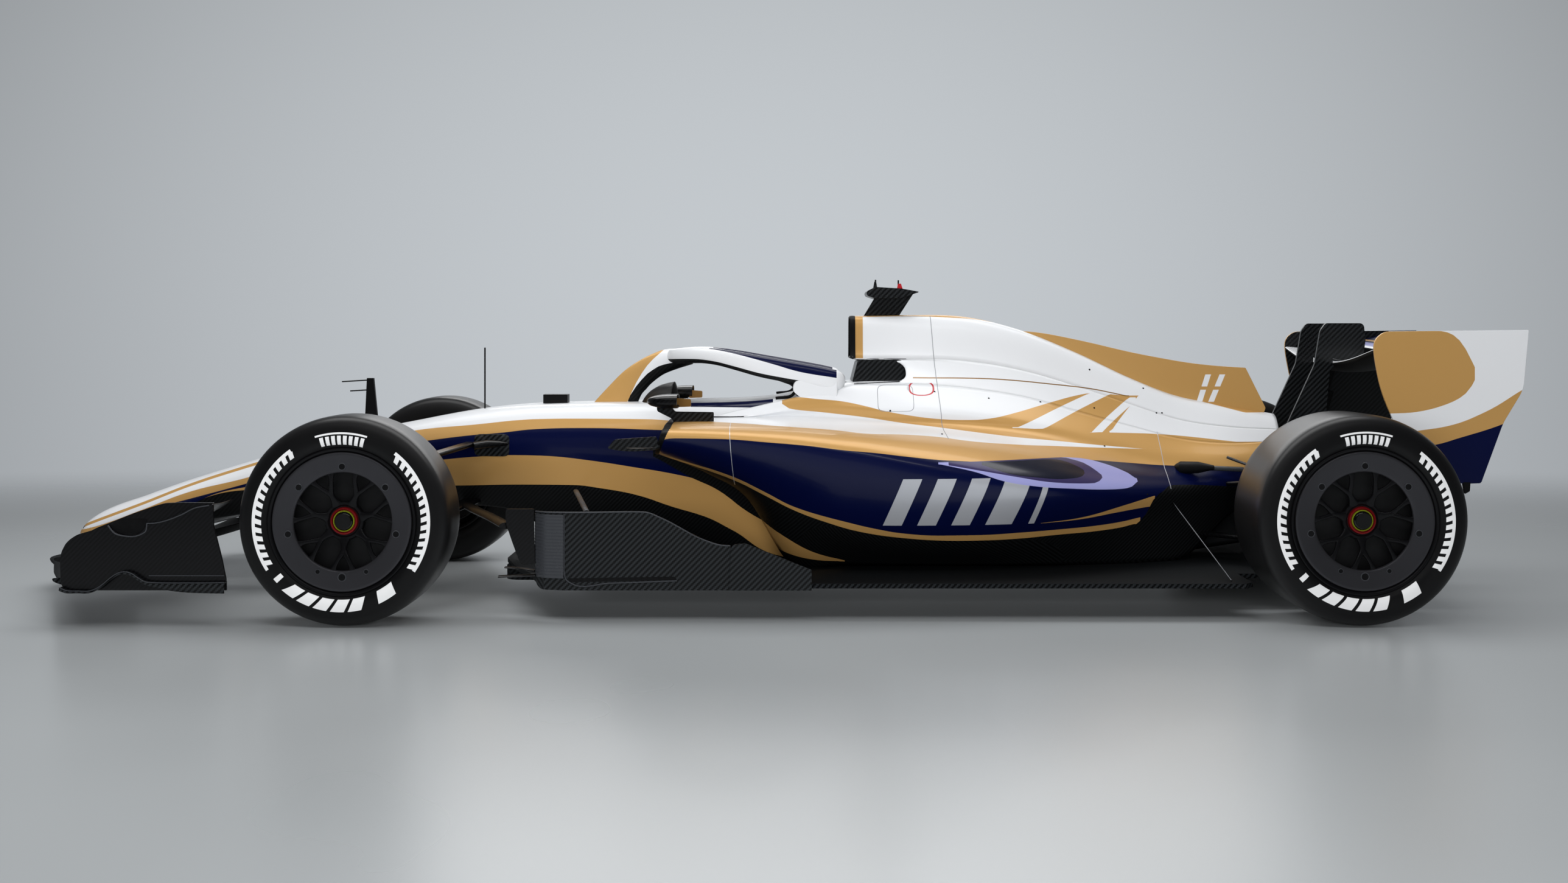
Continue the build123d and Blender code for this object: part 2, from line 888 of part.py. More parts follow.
def rear_endplate():
    """The tall right-hand endplate, drawn in below towards the diffuser."""
    outline = [
        (2189, 905),
        (2189, 955),
        (2225, 986),
        (2741, 992),
        (2722, 780),
        (2650, 661),
        (2571, 446),
        (2501, 444),
        (2400, 470),
        (2290, 590),
        (2262, 661),
        (2213, 776),
    ]
    return side_plate(
        carried(outline),
        rear_plate_y,
        rear_plate_y + rear_plate_thickness,
        radii=[40, 26, 20, 4, 30, 20, 8, 20, 30, 30, 30, 60],
    )


flap_pin = cross_bar(
    *flap_pivot, flap_end_y - flap_pin_entry + 1, rear_plate_y + 1, flap_pin_radius
)
tie_beam = cross_bar(aft(2450), 560, -rear_plate_y + seat_gap, rear_plate_y - seat_gap, 9)
keep("rear_endplates", join(both_sides(join(rear_endplate(), flap_pin)), tie_beam))


pylon_y = 112.0  # of the inner face of each swan neck
pylon_thickness = 12.0


def pylons():
    """The pair of swan necks from the gearbox over the rear wing's leading edge."""
    outline = [
        (1940, 404),
        (2001, 627),
        (2108, 860),
        (2130, 990),
        (2150, 1018),
        (2296, 1018),
        (2302, 950),
        (2290, 868),
        (2168, 850),
        (2148, 627),
        (2085, 404),
    ]
    pylon_end_y = pylon_y + pylon_thickness
    corners = [4, 60, 60, 40, 18, 18, 30, 6, 20, 60, 4]
    neck = side_plate(carried(outline), pylon_y, pylon_end_y, radii=corners)
    foot = block((aft(1950), 60, gearbox_top + seat_gap), (aft(2075), pylon_end_y, 412))
    necks = join(both_sides(neck), both_sides(foot))
    return cut(necks, rear_main, parts["gearbox"], parts["engine_cover"])


keep("wing_pylons", pylons())

# ---- suspension ------------------------------------------------------------------------
front_hub_z = front_radius
rear_hub_z = rear_radius


def front_arms():
    """The right-hand upper and lower wishbones and the push rod, with eyes on the kingpin."""
    x, y = front_axle_x, kingpin_y
    up, low = upper_eye_z + eye_height / 2, lower_eye_z + eye_height / 2
    arms = [
        rod((x, y, up), (x - 190, 120, 560), 46, 15),
        rod((x, y, up), (x + 330, 150, 575), 46, 15),
        rod((x, y, low), (x - 150, 60, 372), 50, 16),
        rod((x, y, low), (x + 300, 90, 350), 64, 16),
        rod((x + 14, y - 60, low + 14), (x + 60, 150, 560), 38, 18),
    ]
    bores = [
        upright_post(x, y, 100, 700, pin_radius + running_gap),
        upright_post(x, y, upper_eye_z + eye_height, 700, 60),
        upright_post(x, y, lower_eye_z + eye_height, upper_eye_z, 38),
        upright_post(x, y, 100, lower_eye_z, 60),
    ]
    body = join(
        *arms,
        upright_post(x, y, upper_eye_z, upper_eye_z + eye_height, eye_radius),
        upright_post(x, y, lower_eye_z, lower_eye_z + eye_height, eye_radius),
    )
    return cut(body, cell_outer, parts["nose_cone"], *bores)


keep("front_arms", both_sides(front_arms()))


def drum(axle_x, hub_z, width, depth):
    """The brake drum inside the wheel, open inboard, with the axle that carries the wheel."""
    face_y = half_track - drum_set_back
    with BuildPart() as cup:
        with BuildSketch(Plane.YZ.offset(axle_x)):
            with BuildLine():
                Polyline(
                    (face_y, hub_z),
                    (face_y, hub_z + drum_radius),
                    (face_y - depth, hub_z + drum_radius),
                    (face_y - depth, hub_z + drum_radius - drum_wall),
                    (face_y - drum_wall - 3, hub_z + drum_radius - drum_wall),
                    (face_y - drum_wall - 3, hub_z),
                    close=True,
                )
            make_face()
        revolve(axis=Axis((axle_x, 0, hub_z), (0, 1, 0)))
    axle = cross_bar(axle_x, hub_z, face_y - 90, half_track - 26, axle_radius)
    return join(cup.part, axle)


def front_knuckle():
    """The right-hand upright with its kingpin posts, steering arm, drum and axle."""
    x, y, z = front_axle_x, kingpin_y, front_hub_z
    low_top = lower_eye_z + eye_height + 1
    post = upright_post(x, y, low_top, upper_eye_z - 1, 26)
    pin = upright_post(x, y, lower_eye_z, upper_eye_z + eye_height, pin_radius)
    arm = block((x - steering_arm - 14, y - 12, track_rod_z - 34), (x, y + 12, track_rod_z - 18))
    tip = upright_post(x - steering_arm, y, track_rod_z - 34, track_rod_z - 18, 14)
    web = block((x - 30, y - 24, z - 60), (x + 30, y + 30, z + 60))
    return join(drum(x, z, front_width, 150), post, pin, arm, tip, web)


knuckle = front_knuckle()
keep("front_knuckle_right", knuckle)
with BuildPart() as left_knuckle:
    add(mirror(knuckle, about=Plane.XZ))
keep("front_knuckle_left", left_knuckle.part)


def steering_rack():
    """The rack bar with its two track rods, which slide across together."""
    x = front_axle_x - steering_arm
    bar = cross_bar(x, track_rod_z, -kingpin_y + 14, kingpin_y - 14, track_rod_radius)
    tips = [
        upright_post(x, side * kingpin_y, track_rod_z - 13, track_rod_z + 13, 18)
        for side in (-1, 1)
    ]
    return join(bar, *tips)


keep("steering_rack", steering_rack())


def rear_arms():
    """The right-hand rear wishbones and pull rod."""
    x, y = rear_axle_x, rear_upright_y
    arms = [
        rod((x, y, 470), (x - 330, 60, 396), 46, 16),
        rod((x, y, 470), (x + 20, 60, 420), 46, 16),
        rod((x, y, 235), (x - 420, 60, 220), 56, 16),
        rod((x, y, 235), (x - 60, 60, 330), 50, 16),
        rod((x - 10, y, 300), (x - 240, 60, 380), 34, 18),
    ]
    carriers = ("gearbox", "crash_structure", "wing_pylons", "engine_cover")
    return cut(join(*arms), *[parts[name] for name in carriers])


def rear_hub():
    """The right-hand rear upright with its drum and axle."""
    x, z = rear_axle_x, rear_hub_z
    post = block((x - 34, rear_upright_y - 20, 215), (x + 34, rear_upright_y + 32, 492))
    link = cross_bar(x, z, rear_upright_y, half_track - drum_set_back - 80, 40)
    return join(drum(x, z, rear_width, 200), post, link)


hub = rear_hub()
keep("rear_hubs", both_sides(hub))
keep("rear_arms", both_sides(cut(rear_arms(), hub)))


def drive_shaft():
    """The right-hand shaft from the gearbox to the upright."""
    bar = cross_bar(rear_axle_x, rear_hub_z, 60, rear_upright_y - 20, 20)
    clear = cut(bar, parts["gearbox"], parts["crash_structure"], parts["rear_arms"])
    return clear.solids().sort_by(Axis.Y)[-1]


keep("drive_shafts", both_sides(drive_shaft()))

# ---- wheels ----------------------------------------------------------------------------


def tyre(axle_x, radius, width):
    """A slick tyre: a hollow ring standing on the rim's bead seats."""
    middle = half_track - width / 2
    half = width / 2
    outer = [
        (half - 14, bead_radius),
        (half, bead_radius + 42),
        (half - 5, radius - 34),
        (half - 44, radius),
    ]
    inner = [
        (half - 50, radius - tyre_wall),
        (half - 5 - tyre_wall, radius - 42),
        (half - tyre_wall, bead_radius + 44),
        (half - 14 - tyre_wall, bead_radius),
    ]
    loop = outer + [(-w, r) for w, r in reversed(outer)]
    loop += [(-w, r) for w, r in reversed(inner)] + inner
    radii = [2, 30, 24, 30, 30, 24, 30, 2, 2, 16, 14, 16, 16, 14, 16, 2]
    with BuildPart() as ring_part:
        with BuildSketch(Plane.YZ.offset(axle_x)):
            with BuildLine():
                FilletPolyline(
                    *[(middle + w, radius + r) for w, r in loop], radius=radii, close=True
                )
            make_face()
        revolve(axis=Axis((axle_x, 0, radius), (0, 1, 0)))
    return ring_part.part


def rim(axle_x, radius, width):
    """The rim: its barrel, the drilled outer ring, seven forked spokes and the hub."""
    outer_y = half_track - rim_set_in
    inner_y = half_track - width + bead_set_in
    seat = bead_radius - seat_gap
    with BuildPart() as wheel:
        with BuildSketch(Plane.YZ.offset(axle_x)):
            with BuildLine():
                Polyline(
                    (outer_y, radius + ring_inner_radius),
                    (outer_y, radius + seat),
                    (inner_y, radius + seat),
                    (inner_y, radius + seat - rim_wall),
                    (outer_y - 14, radius + seat - rim_wall),
                    (outer_y - 14, radius + ring_inner_radius),
                    close=True,
                )
            make_face()
        revolve(axis=Axis((axle_x, 0, radius), (0, 1, 0)))
        wheel_face = Plane(origin=(axle_x, outer_y - 4, radius), x_dir=(1, 0, 0), z_dir=(0, -1, 0))
        with BuildSketch(wheel_face):
            Circle(hub_radius)
            with PolarLocations(0, spoke_count, start_angle=270 + 180 / spoke_count):
                with Locations((70, 0)):
                    Rectangle(80, 24)
                for lean in (-1, 1):
                    with BuildLine():
                        tip_angle = lean * 180 / spoke_count / 2
                        tip_x = (ring_inner_radius + 4) * cos(radians(tip_angle))
                        tip_y = (ring_inner_radius + 4) * sin(radians(tip_angle))
                        Polyline(
                            (80, lean * 2),
                            (tip_x, tip_y - lean * 6),
                            (tip_x, tip_y + lean * 6),
                            (72, lean * 12),
                            close=True,
                        )
                    make_face()
        extrude(amount=spoke_depth)
        with BuildSketch(wheel_face):
            Circle(axle_radius + 0.05)
        extrude(amount=spoke_depth + 5, mode=Mode.SUBTRACT)
        ring_face = Plane(origin=(axle_x, outer_y + 1, radius), x_dir=(1, 0, 0), z_dir=(0, -1, 0))
        with BuildSketch(ring_face):
            with PolarLocations(cover_hole_circle, spoke_count, start_angle=270):
                Circle(cover_hole_radius)
        extrude(amount=40, mode=Mode.SUBTRACT)
    return wheel.part


def wheel_nut(axle_x, radius):
    """The captive wheel nut over the end of the axle."""
    face_y = half_track - rim_set_in - 4 - spoke_depth
    low, high, tip = spoke_depth - 6, spoke_depth + 10, spoke_depth + 14
    face = Plane(origin=(axle_x, face_y, radius), x_dir=(1, 0, 0), z_dir=(0, 1, 0))
    with BuildPart() as cap:
        with BuildSketch(face.offset(low)):
            Circle(nut_radius)
        extrude(amount=high - low)
        with BuildSketch(face.offset(high)):
            Circle(nut_radius * 0.7)
        extrude(amount=tip - high)
        with BuildSketch(face.offset(low)):
            Circle(axle_radius + running_gap)
        extrude(amount=high - low - 3, mode=Mode.SUBTRACT)
    return cap.part


for end, axle_x, radius, width in (
    ("front", front_axle_x, front_radius, front_width),
    ("rear", rear_axle_x, rear_radius, rear_width),
):
    wheel = join(rim(axle_x, radius, width), wheel_nut(axle_x, radius))
    for piece, solid in (("tyre", tyre(axle_x, radius, width)), ("rim", wheel)):
        keep(f"{end}_{piece}_right", solid)
        with BuildPart() as left_piece:
            add(mirror(solid, about=Plane.XZ))
        keep(f"{end}_{piece}_left", left_piece.part)

# ---- small pieces ----------------------------------------------------------------------


mirror_y = 500.0


def mirror_pod():
    """The right-hand mirror housing on the carbon stand over the side pod's front."""
    with BuildPart() as housing:
        for x, half, low_z, high_z in (
            (-424, 36, 730, 778),
            (-390, 76, 714, 792),
            (-302, 82, 712, 794),
        ):
            with BuildSketch(Plane.YZ.offset(x)):
                with Locations((mirror_y, (low_z + high_z) / 2)):
                    RectangleRounded(2 * half, high_z - low_z, 14)
        loft(ruled=True)
    stand_y = mirror_y - 20
    outline = [(-352, 640), (-352, 716), (-300, 716), (-160, 640)]
    stand = side_plate(outline, stand_y, stand_y + 10)
    stay = rod((-330, stand_y + 10, 716), (-330, 236, 700), 40, 10)
    return cut(join(housing.part, stand, stay), cell_outer, parts["sidepods"])


keep("mirrors", both_sides(mirror_pod()))


def nose_sensors():
    """The pitot mast with two probes, the thin aerial behind it and the small camera."""
    mast_x = cell_front_x + 26
    post = side_plate(
        [(mast_x, 590), (mast_x + 10, 806), (mast_x + 36, 806), (mast_x + 56, 598)], -8, 8
    )
    probes = [
        rod((mast_x + 14, 0, 798), (mast_x - 88, 0, 792), 5, 5),
        rod((mast_x + 14, 0, 760), (mast_x - 56, 0, 756), 5, 5),
    ]
    aerial = upright_post(-1068, 0, 640, 924, 3)
    masts = cut(join(post, *probes, aerial), parts["nose_cone"], cell_outer)
    camera = block((-838, -30, 709.2), (-744, 30, 743))
    return join(masts, camera)


keep("nose_sensors", nose_sensors())

os.makedirs("parts", exist_ok=True)
for name, solid in parts.items():
    export_step(solid, f"parts/{name}.step")
print(len(parts), "nodes written")
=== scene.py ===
"""Looks of an open wheel racing car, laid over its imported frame.

Shapes are worked out in millimetres in the frame's own directions, x aft, y to the car's right
and z up, and turned to metres as each mesh is made. A half table is mirrored to the other side.
"""

import json

import bmesh
import bpy
import numpy as np
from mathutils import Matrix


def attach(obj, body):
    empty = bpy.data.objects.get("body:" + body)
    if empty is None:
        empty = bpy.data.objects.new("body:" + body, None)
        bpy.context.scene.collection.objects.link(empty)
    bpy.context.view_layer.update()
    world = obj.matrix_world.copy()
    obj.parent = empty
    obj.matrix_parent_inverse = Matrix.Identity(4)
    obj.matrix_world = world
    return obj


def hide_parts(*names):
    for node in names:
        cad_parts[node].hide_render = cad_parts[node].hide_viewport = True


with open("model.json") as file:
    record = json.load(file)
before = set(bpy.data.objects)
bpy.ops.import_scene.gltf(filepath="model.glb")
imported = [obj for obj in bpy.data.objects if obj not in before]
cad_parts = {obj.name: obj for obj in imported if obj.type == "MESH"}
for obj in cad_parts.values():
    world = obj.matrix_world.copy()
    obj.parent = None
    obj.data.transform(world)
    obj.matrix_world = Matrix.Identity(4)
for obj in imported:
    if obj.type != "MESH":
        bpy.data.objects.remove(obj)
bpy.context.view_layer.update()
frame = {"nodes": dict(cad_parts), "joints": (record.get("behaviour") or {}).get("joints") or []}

MM = 0.001
NODES = frame["nodes"]
AXLES = {
    joint["name"]: np.array(joint["pos_m"]) / MM for joint in frame["joints"] if "spin" in joint["name"]
}
HALF_TRACK = 950.0  # mm, from the middle of the car to a tyre's outer wall
NOSE_SEAM = (-1561.5, -1558.5)  # mm, the two sides of the gap between the nose and the cell
TINY = 1e-6  # mm, a length that counts as none


# ---------------------------------------------------------------------------------------
# Curves and surfaces
# ---------------------------------------------------------------------------------------
MOST_OF_SIDE = 0.49  # share of a side that one softened corner may take
ROD_SIDES = 14
BLADE_SWELL = 1.36  # brings a blade's greatest half thickness to half of its stated thickness
BLADE_SAG = 0.9  # how far its middle line sags, as a share of its thickness
BLADE_EDGE = 1.6  # mm, half thickness left at its two edges


def through(knots, values, at):
    """Smooth line through the values: between two knots runs the cubic whose end slopes are the
    mean slopes of the spans on either side. It is read at every place in the array given."""
    knots, values, at = np.asarray(knots, float), np.asarray(values, float), np.asarray(at, float)
    slopes = np.gradient(values, knots, axis=0)
    span = np.clip(np.searchsorted(knots, at, side="right") - 1, 0, len(knots) - 2)
    width = knots[span + 1] - knots[span]
    t = (at - knots[span]) / width
    extra = (1,) * (values.ndim - 1)
    t, width = t.reshape(t.shape + extra), width.reshape(width.shape + extra)
    rise = slopes[span] * width, slopes[span + 1] * width
    return cubic(t, values[span], rise[0], values[span + 1], rise[1])


def cubic(t, start, start_rise, end, end_rise):
    """The cubic from start to end with the given rises at its ends, t running from 0 to 1."""
    return (
        (2 * t**3 - 3 * t**2 + 1) * start
        + (t**3 - 2 * t**2 + t) * start_rise
        + (3 * t**2 - 2 * t**3) * end
        + (t**3 - t**2) * end_rise
    )


def across(knots, columns, at):
    """The same smooth line, but each place has columns of its own, along the last axis but one."""
    slopes = np.gradient(columns, knots, axis=-2)
    span = np.clip(np.searchsorted(knots, at, side="right") - 1, 0, len(knots) - 2)
    width = (knots[span + 1] - knots[span])[..., None]
    t = (at - knots[span])[..., None] / width
    pick = [
        np.take_along_axis(table, (span + step)[..., None, None], axis=-2)[..., 0, :]
        for table, step in ((columns, 0), (slopes, 0), (columns, 1), (slopes, 1))
    ]
    return cubic(t, pick[0], pick[1] * width, pick[2], pick[3] * width)


def softened(corners, rounding, closed=False, arc=7, straight=1):
    """An outline with softened corners. Near each corner it follows the parabola that touches both
    sides at the rounding's distance from the corner, and elsewhere it runs straight. The corners
    are the last axis but one, so one call softens a whole row of outlines. Each step of the line
    can be cut into several straight ones."""
    corners = np.asarray(corners, float)
    if closed:
        before, after, middle = np.roll(corners, 1, -2), np.roll(corners, -1, -2), corners
    else:
        before, middle, after = corners[..., :-2, :], corners[..., 1:-1, :], corners[..., 2:, :]
    reach = np.broadcast_to(np.asarray(rounding, float), middle.shape[:-1])[..., None]
    ends = []
    for side in (before - middle, after - middle):
        length = np.maximum(np.linalg.norm(side, axis=-1, keepdims=True), TINY)
        ends.append((middle + side * np.minimum(reach / length, MOST_OF_SIDE))[..., None, :])
    s = np.linspace(0, 1, arc)[:, None]
    turns = (1 - s) ** 2 * ends[0] + 2 * s * (1 - s) * middle[..., None, :] + s**2 * ends[1]
    line = turns.reshape(turns.shape[:-3] + (-1, corners.shape[-1]))
    if closed:
        line = np.concatenate([line, line[..., :1, :]], axis=-2)
    else:
        line = np.concatenate([corners[..., :1, :], line, corners[..., -1:, :]], axis=-2)
    if straight > 1:
        cut = np.arange(0, line.shape[-2] - 1 + TINY, 1 / straight)
        low = np.minimum(cut.astype(int), line.shape[-2] - 2)
        part = (cut - low)[:, None]
        line = line[..., low, :] * (1 - part) + line[..., low + 1, :] * part
    return line


def mirrored(grid):
    """The grid and its image across the middle of the car."""
    return [grid, (grid * [1, -1, 1])[:, ::-1]]


def revolved(profile, centre, side, count):
    """A profile of (distance in from the wheel's outer plane, radius) turned about the axle."""
    turn = np.linspace(0, 2 * np.pi, count + 1)[:, None]
    inset, radius = np.asarray(profile, float).T
    y = side * (HALF_TRACK - inset) + 0 * turn
    return np.stack([centre[0] + radius * np.cos(turn), y, centre[2] + radius * np.sin(turn)], axis=-1)


def swept(path, section, up=(0, 0, 1)):
    """A closed section (sideways, upwards) carried square to a path, each end closed on a point.
    The section may be one outline or one for each point of the path."""
    path = np.asarray(path, float)
    ahead = np.gradient(path, axis=0)
    ahead /= np.linalg.norm(ahead, axis=1, keepdims=True)
    aside = np.cross(ahead, np.broadcast_to(np.asarray(up, float), path.shape))
    aside /= np.linalg.norm(aside, axis=1, keepdims=True)
    above = np.cross(aside, ahead)
    section = np.broadcast_to(section, (len(path),) + np.shape(section)[-2:])
    skin = path[:, None] + aside[:, None] * section[..., :1] + above[:, None] * section[..., 1:]
    return capped(skin)


def rod(points, radius, flat=1.0):
    """A round rod through points, or an oval one whose height is the flat share of its width."""
    points = np.asarray(points, float)
    reach = np.concatenate([[0], np.cumsum(np.linalg.norm(np.diff(points, axis=0), axis=1))])
    path = points
    if len(points) > 2:
        path = through(reach, points, np.linspace(0, reach[-1], 8 * len(points)))
    steep = abs(points[-1][2] - points[0][2]) > 0.8 * reach[-1]
    return swept(path, oval(radius, radius * flat, 2.0, ROD_SIDES), up=(1, 0, 0) if steep else (0, 0, 1))


def tapered(path, shares, outline):
    """An outline carried along a path of a few points, scaled by a share at each."""
    return swept(path, np.array(shares)[:, None, None] * outline)


def both(grids):
    """The grids and their images across the middle of the car."""
    return list(grids) + [np.asarray(grid) * [1, -1, 1] for grid in grids]


def capped(skin):
    """A tube of closed rows with both ends drawn to their middle points."""
    first = np.repeat(skin[:1].mean(axis=1, keepdims=True), skin.shape[1], axis=1)
    last = np.repeat(skin[-1:].mean(axis=1, keepdims=True), skin.shape[1], axis=1)
    return np.concatenate([first, skin, last])


def oval(half_wide, half_high, power, count):
    """A closed superellipse: |a / half_wide|^power + |b / half_high|^power = 1."""
    turn = np.linspace(0, 2 * np.pi, count + 1)
    wide, high = (
        half * np.sign(share) * np.abs(share) ** (2 / power)
        for half, share in ((half_wide, np.cos(turn)), (half_high, np.sin(turn)))
    )
    return np.stack([wide, high], axis=-1)


def blade(stations, rows):
    """A wing element. Its stations are (y, leading x, z, trailing x, z, thickness). Round each
    section the chord place is (1 + cos a) / 2, the half thickness follows the root of the place
    times what is left of the chord, and the middle line sags as a parabola."""
    stations = np.asarray(stations, float)
    y = np.linspace(stations[0, 0], stations[-1, 0], rows)
    lead_x, lead_z, trail_x, trail_z, thick = through(stations[:, 0], stations[:, 1:], y).T[:, :, None]
    turn = np.linspace(0, 2 * np.pi, 37)
    place = (1 + np.cos(turn)) / 2
    chord = np.hypot(trail_x - lead_x, trail_z - lead_z)
    along = (trail_x - lead_x) / chord, (trail_z - lead_z) / chord
    half = np.sign(np.sin(turn)) * (BLADE_SWELL * thick * np.sqrt(place) * (1 - place) + BLADE_EDGE)
    sag = -4 * BLADE_SAG * thick * place * (1 - place)
    x = lead_x + along[0] * chord * place - along[1] * (sag + half)
    z = lead_z + along[1] * chord * place + along[0] * (sag + half)
    return capped(np.stack([x, y[:, None] + 0 * x, z], axis=-1))


def spread(rows):
    """Stations on one side, repeated on the other."""
    return [(-row[0],) + tuple(row[1:]) for row in rows[:0:-1]] + [tuple(row) for row in rows]


def panel(outline, low_y, high_y, rounding):
    """A flat plate with a softened outline in side view: its two faces and its edge, as grids and
    outlines. Each face is one many-cornered face."""
    line = softened(outline, rounding, closed=True, arc=6)[:-1]
    near = np.stack([line[:, 0], np.full(len(line), low_y), line[:, 1]], axis=-1)
    far = near + [0, high_y - low_y, 0]
    edge = np.stack([np.vstack([near, near[:1]]), np.vstack([far, far[:1]])])
    return [edge], [near, far[::-1]]


def panels(*plates):
    """The edges and the faces of several flat plates, each stated as a panel is."""
    made = [panel(*plate) for plate in plates]
    return [edge for edges, _ in made for edge in edges], [face for _, faces in made for face in faces]


def squares(rows, columns):
    """The four-cornered faces of a grid of points, as numbers of its points."""
    index = np.arange(rows * columns).reshape(rows, columns)
    return np.stack([index[:-1, :-1], index[1:, :-1], index[1:, 1:], index[:-1, 1:]], axis=-1).reshape(-1, 4)


# ---------------------------------------------------------------------------------------
# Making pieces
# ---------------------------------------------------------------------------------------
WELD = 0.05  # mm, points closer than this become one
SLIVER = 0.01  # mm, faces thinner than this go
CREASE = np.radians(38)  # a fold sharper than this stays a crisp line
BEVELLED = 0.6  # radians, a fold sharper than this is bevelled where a piece has a bevel


def piece(name, grids, material, body="chassis", slot="carbon", stands_for=(), plates=(),
          wall=0.0, inner=None, bevel=0.0, groups=None):
    """One object from grids of points, in which neighbours join into four-cornered faces, and from
    plates, each one many-cornered face. Near points are merged, slivers removed and all faces
    turned outward. Groups give each grid and plate the number of its material, and inner gives the
    number by which the inside of a wall goes on from it."""
    corners, faces, marks, count = [], [], [], 0
    for number, points in enumerate([*grids, *plates]):
        new = squares(*points.shape[:2]) if points.ndim == 3 else np.arange(len(points))[None]
        corners.append(points.reshape(-1, 3))
        faces += (new + count).tolist()
        marks += [groups[number] if groups else 0] * len(new)
        count += len(corners[-1])
    mesh = bpy.data.meshes.new(name)
    mesh.from_pydata((np.concatenate(corners) * MM).tolist(), [], faces)
    mesh.polygons.foreach_set("material_index", marks)
    form = bmesh.new()
    form.from_mesh(mesh)
    bmesh.ops.remove_doubles(form, verts=form.verts, dist=WELD * MM)
    bmesh.ops.dissolve_degenerate(form, edges=form.edges, dist=SLIVER * MM)
    bmesh.ops.recalc_face_normals(form, faces=form.faces)
    form.to_mesh(mesh)
    form.free()
    turn_outward(mesh)
    mesh.polygons.foreach_set("use_smooth", np.ones(len(mesh.polygons), bool))
    mesh.set_sharp_from_angle(angle=CREASE)
    for finish in material if isinstance(material, list) else [material]:
        mesh.materials.append(finish)
    thing = bpy.data.objects.new(name, mesh)
    bpy.context.scene.collection.objects.link(thing)
    if wall:
        solid = thing.modifiers.new("wall", "SOLIDIFY")
        solid.thickness, solid.offset = wall * MM, -1
        if inner is not None:
            solid.material_offset = inner
    if bevel:
        soft = thing.modifiers.new("soft edge", "BEVEL")
        soft.width, soft.segments = bevel * MM, 2
        soft.limit_method, soft.angle_limit, soft.harden_normals = "ANGLE", BEVELLED, True
    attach(thing, body)
    if stands_for:
        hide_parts(*stands_for)


def turn_outward(mesh):
    """Flips a mesh whose faces look inward on the whole, which they do where the sum of area times
    normal times reach from the middle is negative."""
    count = len(mesh.polygons)
    centre, normal, area = np.empty(count * 3), np.empty(count * 3), np.empty(count)
    mesh.polygons.foreach_get("center", centre)
    mesh.polygons.foreach_get("normal", normal)
    mesh.polygons.foreach_get("area", area)
    centre, normal = centre.reshape(-1, 3), normal.reshape(-1, 3)
    middle = (centre * area[:, None]).sum(axis=0) / area.sum()
    if (((centre - middle) * normal).sum(axis=1) * area).sum() < 0:
        mesh.flip_normals()


# ---------------------------------------------------------------------------------------
# Materials
# ---------------------------------------------------------------------------------------
def linear(colour, strength=1.0):
    """An sRGB hex colour as linear red, green, blue and alpha."""
    parts = np.array([int(colour[i : i + 2], 16) for i in (0, 2, 4)]) / 255
    parts = np.where(parts <= 0.04045, parts / 12.92, ((parts + 0.055) / 1.055) ** 2.4)
    return (*(parts * strength).tolist(), 1.0)


def feed(tree, node, feeds):
    """Feeds a node's inputs: each with a socket, a node, whose first output is taken, or a plain
    value."""
    for name, value in feeds.items():
        if isinstance(value, bpy.types.Node):
            value = value.outputs[0]
        if isinstance(value, bpy.types.NodeSocket):
            tree.links.new(value, node.inputs[name])
        else:
            node.inputs[name].default_value = value


def add(tree, kind, feeds=None, **settings):
    """Adds one node with its settings and feeds."""
    node = tree.nodes.new("ShaderNode" + kind)
    for name, value in settings.items():
        setattr(node, name, value)
    feed(tree, node, feeds or {})
    return node


def new_material(name, feeds):
    """A material with a Principled shader whose plain values stand on its own sockets."""
    material = bpy.data.materials.new(name)
    material.use_nodes = True
    tree = material.node_tree
    tree.nodes.clear()
    shader = add(tree, "BsdfPrincipled", feeds)
    add(tree, "OutputMaterial", {"Surface": shader})
    return material, tree, shader


NOISE_LOW, NOISE_HIGH = 0.35, 0.65  # between these lies nearly all of a noise's value


def grain(tree, shader, size, depth, rough=None):
    """Fine unevenness of the given grain size and depth in mm, as a bump, and hand-sized patches
    of roughness between two values."""
    place = add(tree, "TexCoord").outputs["Object"]
    noise = add(tree, "TexNoise", {"Vector": place, "Scale": 1 / (size * MM), "Detail": 3.0})
    bump = add(tree, "Bump", {"Height": noise, "Strength": 1.0, "Distance": depth * MM})
    feed(tree, shader, {"Normal": bump})
    if rough:
        spots = add(tree, "TexNoise", {"Vector": place, "Scale": 12.0, "Detail": 5.0})
        patches = {"Value": spots, 1: NOISE_LOW, 2: NOISE_HIGH, 3: rough[0], 4: rough[1]}
        feed(tree, shader, {"Roughness": add(tree, "MapRange", patches)})


FACING = 0.7  # a normal's share along an axis over which the surface counts as facing that way


